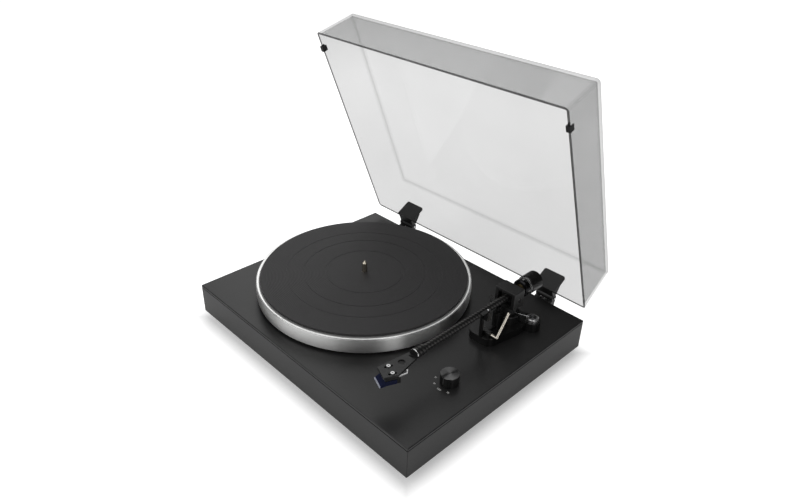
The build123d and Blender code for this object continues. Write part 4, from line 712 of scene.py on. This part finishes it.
# %% The counterweight's scale
TICKS = 40
FIGURES = ["0", "1", "2", "3"]
FIGURE_H = 3.4 * MM
dial_low, dial_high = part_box("weight_dial")
dial_r = (dial_high.x - dial_low.x) / 2
angle = np.linspace(0, 2 * np.pi, TICKS, endpoint=False)
outward = np.stack([np.cos(angle), np.zeros(TICKS), np.sin(angle)], 1)
round_way = np.stack([-np.sin(angle), np.zeros(TICKS), np.cos(angle)], 1)
tick_at = np.array([pivot.x, dial_high.y - 2.0 * MM, pivot.z]) + outward * (dial_r - 0.02 * MM)
along_y = np.tile([0, 1.0, 0], (TICKS, 1))
ticks = pads(
    tick_at, along_y, -round_way, outward, length=2.4 * MM, width=0.35 * MM, thickness=0.06 * MM
)
dress("scale_lines", ticks, white_paint, "dial", smooth=False)


def print_round(name, text, height, turn, y, radius, body):
    """Rolls figures round the arm's axis: x becomes the angle turn - x / radius, y stays."""
    flat, polygons = figures(text, height)
    angles = turn - flat[:, 0] / radius
    x, z = pivot.x + radius * np.cos(angles), pivot.z + radius * np.sin(angles)
    points = np.stack([x, y + flat[:, 1], z], 1)
    new_piece(name, points, polygons, white_paint, body)


figure_y, figure_r = dial_low.y + 5.0 * MM, dial_r + 0.03 * MM
for step, text in enumerate(FIGURES):
    turn = math.pi / 2 - step * 2 * math.pi / len(FIGURES)
    print_round(f"scale_{text}", text, FIGURE_H, turn, figure_y, figure_r, "dial")

edge = [(10.0, 0), (12.05, 0), (12.2, 0.12), (12.2, 0.28), (12.05, 0.4), (10.0, 0.4)]
ring_at = (pivot.x, dial_high.y + 0.15 * MM, pivot.z)
ring = turned(np.array(edge) * MM, ring_at, (0, 1, 0), (1, 0, 0))
dress("weight_ring", ring, bright_steel, "weight")

# %% [markdown]
# Four hair-thin leads join the headshell's plug to the cartridge. Their colours are the ones that
# every such cartridge uses, so that left, right and their grounds aren't mixed up. Each is a tube
# on a shallow arc of a parabola between its two pins.

# %% Cartridge leads
LEADS = {
    "red": (0.35, 0.02, 0.02),
    "green": (0.02, 0.16, 0.05),
    "white": (0.55, 0.54, 0.50),
    "blue": (0.02, 0.05, 0.30),
}
LEAD_R = 0.38 * MM
LEAD_STEP = 1.2 * MM
LEAD_REACH = 9.9 * MM
SAG = 3.0 * MM
forward = np.array(joints["stylus_pull"]["axis"], float)
sideways = np.array([-forward[1], forward[0], 0])
screws = np.array(middle("cartridge_screws"))
lead_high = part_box("cartridge_leads")[1]
lead_top = lead_high.z - LEAD_R
for number, (colour_name, colour) in enumerate(LEADS.items()):
    place = number - 1.5
    start = np.array([pivot.x + place * LEAD_STEP, lead_high.y - LEAD_R, lead_top])
    end = screws - forward * LEAD_REACH + sideways * place * 2 * LEAD_STEP
    end[2] = lead_top - 1.5 * MM
    t = np.linspace(0, 1, 24)[:, None]
    path = start * (1 - t) + end * t - np.array([0, 0, SAG]) * 4 * t * (1 - t)
    sleeve = grained(f"lead_{colour_name}", colour, 0.45, 3000, 0.00001)
    lead = dress(f"lead_{colour_name}", tube(path, LEAD_R), sleeve, "shell")
    if number == 0:
        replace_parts(lead, "cartridge_leads")

# %% [markdown]
# The two phono sockets at the back have coloured inserts, red for the right channel and white for
# the left. Each is a thin washer in the socket's mouth, turned round the socket's axis.

# %% Socket inserts
JACK_R = 4.15 * MM
washer = np.array([(1.7, 0), (3.3, 0), (3.3, 0.12), (1.7, 0.12)]) * MM
jack_low, jack_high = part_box("phono_jacks")
jack_z = (jack_low.z + jack_high.z) / 2
inserts = {
    "left": (jack_low.x + JACK_R, grained("insert_white", (0.60, 0.60, 0.58), 0.45, 3000, 0.00001)),
    "right": (jack_high.x - JACK_R, grained("insert_red", (0.35, 0.02, 0.02), 0.45, 3000, 0.00001)),
}
for side, (x, insert_paint) in inserts.items():
    insert = turned(washer, (x, jack_high.y, jack_z), (0, 1, 0), (0, 0, 1), steps=40)
    dress(f"insert_{side}", insert, insert_paint, "chassis")

# %% [markdown]
# The platter's rim is turned slightly barrel-shaped, so its upper half looks up at the lamps and
# its lower half down at the black deck: that is why the side fades from bright to dark. The upper
# edge is faced off, and its white line round the mat is partly a real reflection of the lamps and
# partly a painted reflection: a near-white colour, only partly metallic, stands in for the white
# room that the metal mirrors. Both are rings turned round the spindle, a fraction of a millimetre
# outside the solid.

# %% The platter's barrel side and bright shoulder
BARREL = 0.75 * MM
LIP = 1.3 * MM
mat_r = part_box("platter_mat")[1].x - spindle.x
rim_low, rim_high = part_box("platter")
rim_r = rim_high.x - spindle.x
rim_h = rim_high.z - rim_low.z
share = np.linspace(-1, 1, 15)
height = (rim_h - LIP) / 2 + share * (rim_h - LIP - 0.2 * MM) / 2
side = np.stack([rim_r + 0.03 * MM + BARREL * (1 - share**2), height], 1)
inside = np.array([(rim_r - 0.5 * MM, height[-1]), (rim_r - 0.5 * MM, height[0])])
rim_base = (spindle.x, spindle.y, rim_low.z)
barrel = turned(np.concatenate([side, inside]), rim_base, (0, 0, 1), (1, 0, 0), steps=240)
barrel_metal = lathe(
    "barrel_metal", ALLOY, 0.42, spindle, Anisotropic=0.93, Anisotropic_Rotation=QUARTER
)
dress("platter_side", barrel, barrel_metal, "platter_group")

# painted reflection: a near-white colour, only partly metallic, for the white room mirrored in the
# edge
shoulder_reflection = Finish("shoulder_painted_reflection", (0.95, 0.95, 0.94), Metallic=0.65)
radius, _ = shoulder_reflection.polar(spindle)
ring = shoulder_reflection.rings(radius, 0.3 * MM)
shoulder_reflection.feed(Roughness=0.24 + (ring - 0.5) * 0.1).bump(ring, RING_DEPTH)
inner = (mat_r + 0.1 * MM - rim_r) / MM
edge = [(-0.7, 0), (-0.7, -1.3), (0.12, -1.3), (0.12, -0.75), (-0.1, -0.25), (-0.6, 0.06)]
edge = np.array([(inner, 0), *edge, (-1.0, 0.12), (inner, 0.12)]) * MM + (rim_r, 0)
shoulder = turned(edge, (spindle.x, spindle.y, rim_high.z), (0, 0, 1), (1, 0, 0), steps=240)
dress("platter_shoulder", shoulder, shoulder_reflection.material, "platter_group")

# %% [markdown]
# The solid of the arm's tube is made of flat strips, and its highlight would break up on them. A
# smooth tube of the same size, turned round the arm's axis with its ends eased, stands for it.

# %% Smooth arm tube
tube_low, tube_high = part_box("arm_tube")
tube_r = (tube_high.z - tube_low.z) / 2
length = tube_high.y - tube_low.y
ease = 0.15 * MM
near_end = [(tube_r * 0.8, 0), (tube_r - ease, 0), (tube_r, ease), (tube_r, 2 * ease)]
far_end = [(radius, length - along) for radius, along in reversed(near_end)]
smooth_tube = turned(
    near_end + far_end, (pivot.x, tube_low.y, pivot.z), (0, 1, 0), (1, 0, 0), steps=48
)
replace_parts(dress("carbon_tube", smooth_tube, carbon, "arm"), "arm_tube")

# %% [markdown]
# Small bright things catch the eye on a black arm: the polished ring where the headshell meets its
# collar, the screw on which the rest's clip turns, and the thin rod from the arm's base to the
# anti-skating dial. The dial itself is a silver ring round a darker face.

# %% Bright trim
edge = np.array([(5.0, 0), (6.2, 0), (6.35, 0.2), (6.35, 1.4), (6.2, 1.6), (5.0, 1.6)]) * MM
ring_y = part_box("headshell_collar")[0].y - 1.9 * MM
ferrule = turned(edge, (pivot.x, ring_y, pivot.z), (0, 1, 0), (1, 0, 0))
dress("ferrule_ring", ferrule, chrome, "shell")

edge = np.array([(0, 0), (1.5, 0), (1.5, 0.35), (1.1, 0.62), (0.5, 0.75), (0, 0.8)]) * MM
clip_axis = joint_place("rest_latch")
clip_top = (clip_axis.x, clip_axis.y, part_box("rest_clip")[1].z)
clip_screw = turned(edge, clip_top, (0, 0, 1), (1, 0, 0), steps=24)
dress("clip_screw", clip_screw, chrome, "latch")

edge = np.array([(0, 0), (5.3, 0), (5.3, 0.06), (5.0, 0.1), (0, 0.1)]) * MM
dial_top = (skate_axis.x, skate_axis.y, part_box("antiskate_dial")[1].z)
dial_grey = lathe(
    "dial_grey", (0.16, 0.16, 0.165), 0.4, skate_axis, Anisotropic=0.9, Anisotropic_Rotation=QUARTER
)
dress("dial_centre", turned(edge, dial_top, (0, 0, 1), (1, 0, 0)), dial_grey, "antiskate")

ROD_FROM, ROD_TO = np.array([7.0, 1.0, 0]) * MM, np.array([28.0, 9.5, 0]) * MM
rod_base = np.array([pivot.x, pivot.y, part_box("arm_base")[1].z + 0.6 * MM])
t = np.linspace(0, 1, 8)[:, None]
rod = tube(rod_base + ROD_FROM * (1 - t) + ROD_TO * t, 0.45 * MM)
dress("skate_rod", rod, bright_steel, "chassis")

# %% [markdown]
# Each hinge has a bent sheet under its spring that keeps the grease off the floor. It is a piece of
# a pipe round the hinge's axis, below the barrel and between the two knuckles, so the leaf swings
# clear of it.

# %% Hinge troughs
HINGE_X = {"left": -140 * MM, "right": 140 * MM}
TROUGH_WIDTH = 17 * MM
TROUGH_INNER, TROUGH_OUTER = 8.9 * MM, 9.5 * MM
TROUGH_FROM, TROUGH_TO = -150, -66


def trough(middle_x, steps=14):
    """A strip of pipe. point = (x, axis.y + radius * cos t, axis.z + radius * sin t), with the
    outer radius on the way there and the inner one back; at both ends the two draw together."""
    t = np.radians(np.linspace(TROUGH_FROM, TROUGH_TO, steps))
    angle = np.concatenate([t, t[::-1]])
    half = np.array([0.01, 1, 1, 0.01])[:, None] * (TROUGH_OUTER - TROUGH_INNER) / 2
    radius = (TROUGH_INNER + TROUGH_OUTER) / 2 + half * np.repeat([1, -1], steps)
    x = middle_x + np.array([-1, -1, 1, 1])[:, None] * TROUGH_WIDTH / 2 + 0 * radius
    y, z = hinge_axis.y + radius * np.cos(angle), hinge_axis.z + radius * np.sin(angle)
    return np.stack([x, y, z], 2), grid_faces(4, 2 * steps, ring=True)


for side, middle_x in HINGE_X.items():
    dress(f"hinge_trough_{side}", trough(middle_x), leaf_black, "chassis")

# %% [markdown]
# The stylus grip is moulded in navy, and the lip that a finger takes hold of carries a pale band, a
# painted highlight. The colour changes with the distance ahead of the cartridge's screws, measured
# along its own axis.

# %% Stylus grip with a painted highlight on its lip
NAVY, PAINTED_HIGHLIGHT = (0.008, 0.012, 0.045), (0.45, 0.47, 0.55)
LIP_AHEAD = 15.0 * MM


def grip():
    """ahead = (place - screws) . forward; the painted highlight is where ahead > 15 mm, softened
    over 0.5 mm.
    """
    finish = Finish("navy_grip", NAVY, IOR=1.5)
    x, y, _ = finish.axes(finish.place(screws))
    lip_highlight = (x * forward[0] + y * forward[1]).above(LIP_AHEAD, 0.5 * MM)
    cloud = finish.noise(900)
    finish.feed(
        # painted highlight: a pale colour on the lip at the grip's front
        Base_Color=finish.colours(lip_highlight, [(0.0, NAVY), (1.0, PAINTED_HIGHLIGHT)]),
        Roughness=0.22 + (cloud - 0.5) * 0.08 + lip_highlight * 0.15,
    )
    return finish.bump(cloud, 0.000005).material


give(grip(), "stylus_unit")

# %% [markdown]
# Screws come next, and one node may hold many of them. Its separate solids are found from its
# triangles: points that share a triangle belong together, so each point takes the lowest number
# among its neighbours, again and again, until no number changes.

# %% Separate solids of a node
def island_boxes(node):
    """The boxes of a node's separate solids. Points that share a face are joined until nothing
    changes."""
    mesh = nodes[node].data
    co = np.zeros(len(mesh.vertices) * 3)
    mesh.vertices.foreach_get("co", co)
    co = co.reshape(-1, 3)
    _, spot = np.unique(np.round(co, 6), axis=0, return_inverse=True)
    spot = spot.ravel()
    loops = np.zeros(len(mesh.loops), int)
    mesh.loops.foreach_get("vertex_index", loops)
    triangles = spot[loops].reshape(-1, 3)
    label = np.arange(spot.max() + 1)
    while True:
        lowest = label[triangles].min(1)
        before = label.copy()
        np.minimum.at(label, triangles.ravel(), np.repeat(lowest, 3))
        label = label[label]
        if (label == before).all():
            break
    owner = label[spot]
    return [(co[owner == one].min(0), co[owner == one].max(0)) for one in np.unique(owner)]


print(len(island_boxes("case_screws")), "case screws")

# %% [markdown]
# They are driven by a crossed bit. The solids' heads are plain discs, so each gets a cross of
# painted
# shade on its face: two thin pads at right angles, sunk in looks by their dark colour alone.

# %% Crossed screw heads
HEAD_DEPTH = 4 * MM
ARM_SHARE = 0.22  # of a cross that its arms are wide
# painted shade: a dark colour where a cut recess would hold shade
painted_recess_shade = grained("screw_recess_painted_shade", (0.02, 0.02, 0.02), 0.6, 2000, 0.00001)


def cross_heads(name, node, body, outward, size):
    """A cross on each screw's head that lies within 4 mm of the furthest one along outward."""
    outward = np.array(outward, float)
    axis = int(np.abs(outward).argmax())
    way = outward[axis]
    lows, highs = np.moveaxis(np.array(island_boxes(node)), 1, 0)
    ends = (lows if way < 0 else highs)[:, axis] * way
    places = (lows + highs) / 2
    places[:, axis] = ends * way
    places = places[ends > ends.max() - HEAD_DEPTH]
    first, second = np.roll(np.abs(outward), 1), np.roll(np.abs(outward), 2)
    a, a_faces = pads(places, first, second, outward, size, size * ARM_SHARE, 0.04 * MM)
    b, b_faces = pads(places, second, first, outward, size, size * ARM_SHARE, 0.045 * MM)
    print(name, len(places), "heads")
    cross = np.concatenate([a, b]), np.concatenate([a_faces, b_faces + a.size // 3])
    dress(name, cross, painted_recess_shade, body, smooth=False)


cross_heads("cartridge_crosses", "cartridge_screws", "shell", (0, 0, 1), 2.4 * MM)
cross_heads("cover_crosses", "case_screws", "chassis", (0, 0, -1), 3.0 * MM)
cross_heads("panel_crosses", "case_screws", "chassis", (0, 1, 0), 3.0 * MM)
cross_heads("foot_crosses", "foot_screws", "chassis", (0, 0, -1), 3.0 * MM)

# %% [markdown]
# The floor is a matt surface with a glow of its own that only camera, glossy and transmitted rays
# see. The glow grows with the distance from the deck, so the floor comes out white; the soft shadow
# along the deck's foot is partly cast by the lamps and partly painted, as the weaker glow there.

# %% The floor
FLOOR_REACH = 4.0
FLOOR_Z = -0.5 * MM
WHITE = (1, 1, 1, 1)


def white_floor():
    """away = the distance from the deck's outline. glow = 0.35 at it, 0.9 past 24 mm and 1 past
    0.75 m, times 0.3 in reflections, and none for the rays that carry light about. The low glow
    near the outline is a painted shadow."""
    finish = Finish("white_floor", (0.80, 0.80, 0.80), Roughness=0.9, Specular_IOR_Level=0.0)
    camera, glossy, through = finish.rays()
    seen = (camera + glossy + through).math("MINIMUM", 1)
    x, y, _ = finish.axes(finish.place())
    low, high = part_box("plinth")
    beside = (x - (low.x + high.x) / 2).absolute() - (high.x - low.x) / 2
    before = (y - (low.y + high.y) / 2).absolute() - (high.y - low.y) / 2
    away = beside.math("MAXIMUM", before)
    clear_of_painted_shadow, far = away.above(12 * MM, 24 * MM), away.above(0.5, 0.5)
    # painted shadow: the glow is weaker within 24 mm of the deck's outline
    level = (0.35 + clear_of_painted_shadow * 0.55 + far * 0.1) * (1 - glossy * 0.7)
    glow = finish.node("ShaderNodeEmission", None, {"Color": WHITE, "Strength": seen * level})
    shaders = {0: finish.surface.outputs[0], 1: glow.outputs[0]}
    both = finish.node("ShaderNodeAddShader", None, shaders)
    finish.put(finish.tree.nodes["Material Output"].inputs["Surface"], both.outputs[0])
    return finish.material


floor_mesh = bpy.data.meshes.new("floor")
floor_corners = [(FLOOR_REACH * x, FLOOR_REACH * y, FLOOR_Z) for x, y in LOOP]
floor_mesh.from_pydata(floor_corners, [], [(0, 1, 2, 3)])
floor_mesh.materials.append(white_floor())
floor = bpy.data.objects.new("floor", floor_mesh)
bpy.context.scene.collection.objects.link(floor)
print("floor", 2 * FLOOR_REACH, "m across")

# %% [markdown]
# The sky is white to a camera ray, and to one that has come through the clear cover. Every other
# ray finds it dim, so the lamps do the lighting.

# %% The sky
world = bpy.data.worlds.new("sky")
bpy.context.scene.world = world
world.use_nodes = True
sky = Maker(world.node_tree)
camera_rays, glossy_rays, through_rays = sky.rays()
clear = camera_rays.math("MAXIMUM", through_rays)
background = world.node_tree.nodes["Background"]
background.inputs["Color"].default_value = WHITE
sky.put(background.inputs["Strength"], (0.05 + glossy_rays * 0.03 + clear).math("MINIMUM", 1))
print(world.name, "made of", len(sky.tree.nodes), "nodes")

# %% [markdown]
# Black lacquer and bare metal show the lamps more than they show their own colour, so where the
# lamps stand decides the picture. A wide one to the back left lies in the deck's sheen and on the
# platter's shoulder; a tall one to the front left and a narrow one to the front right make the two
# bright bands on the platter's side, with dark between; and a soft one overhead fills. The power
# for a panel that looks as bright as white paper is pi times its area.

# %% Lamps
def lamp(name, turn, lift, distance, size, brightness):
    """A soft panel facing the deck. Its middle is at distance * (cos lift * (cos turn, sin turn),
    sin lift), with turn and lift in degrees, and its power is pi * width * height * brightness."""
    data = bpy.data.lights.new(name, "AREA")
    data.shape = "RECTANGLE"
    data.size, data.size_y = size
    data.energy = math.pi * size[0] * size[1] * brightness
    panel = bpy.data.objects.new(name, data)
    bpy.context.scene.collection.objects.link(panel)
    turn, lift = math.radians(turn), math.radians(lift)
    flat = distance * math.cos(lift)
    panel.location = (flat * math.cos(turn), flat * math.sin(turn), distance * math.sin(lift))
    panel.rotation_euler = (-panel.location).to_track_quat("-Z", "Y").to_euler()
    panel.visible_camera = False
    print(name, round(data.energy, 2), "W")


lamp("back_left_panel", 147, 41, 1.7, (1.2, 1.2), 1.25)
lamp("front_left_panel", -100, 33, 1.6, (1.7, 1.7), 1.0)
lamp("front_right_strip", -17, 33, 1.6, (0.42, 1.7), 1.7)
lamp("overhead_panel", 90, 80, 1.8, (1.6, 1.6), 1.1)

# %% [markdown]
# The camera stands where the photograph's did: the plinth's edges, the platter's ellipse and the
# open cover's rim together fix its place, its aim and how far it is rolled.

# %% Camera
CAMERA_AT = Vector((0.5593, -0.5660, 0.6042))
CAMERA_AIM = Vector((-0.0589, 0.0603, 0.0800))
CAMERA_ROLL = math.radians(1.84)
lens = bpy.data.cameras.new("camera")
lens.sensor_width = 36.0
lens.lens = 30.16
lens.clip_start = 0.01
camera = bpy.data.objects.new("camera", lens)
bpy.context.scene.collection.objects.link(camera)
camera.location = CAMERA_AT
camera.rotation_mode = "QUATERNION"
aimed = (CAMERA_AIM - CAMERA_AT).to_track_quat("-Z", "Y")
camera.rotation_quaternion = aimed @ Quaternion((0, 0, 1), CAMERA_ROLL)
bpy.context.scene.camera = camera
bpy.context.scene.view_settings.view_transform = "Standard"
print("camera at", list(CAMERA_AT), "with a", lens.lens, "mm lens")
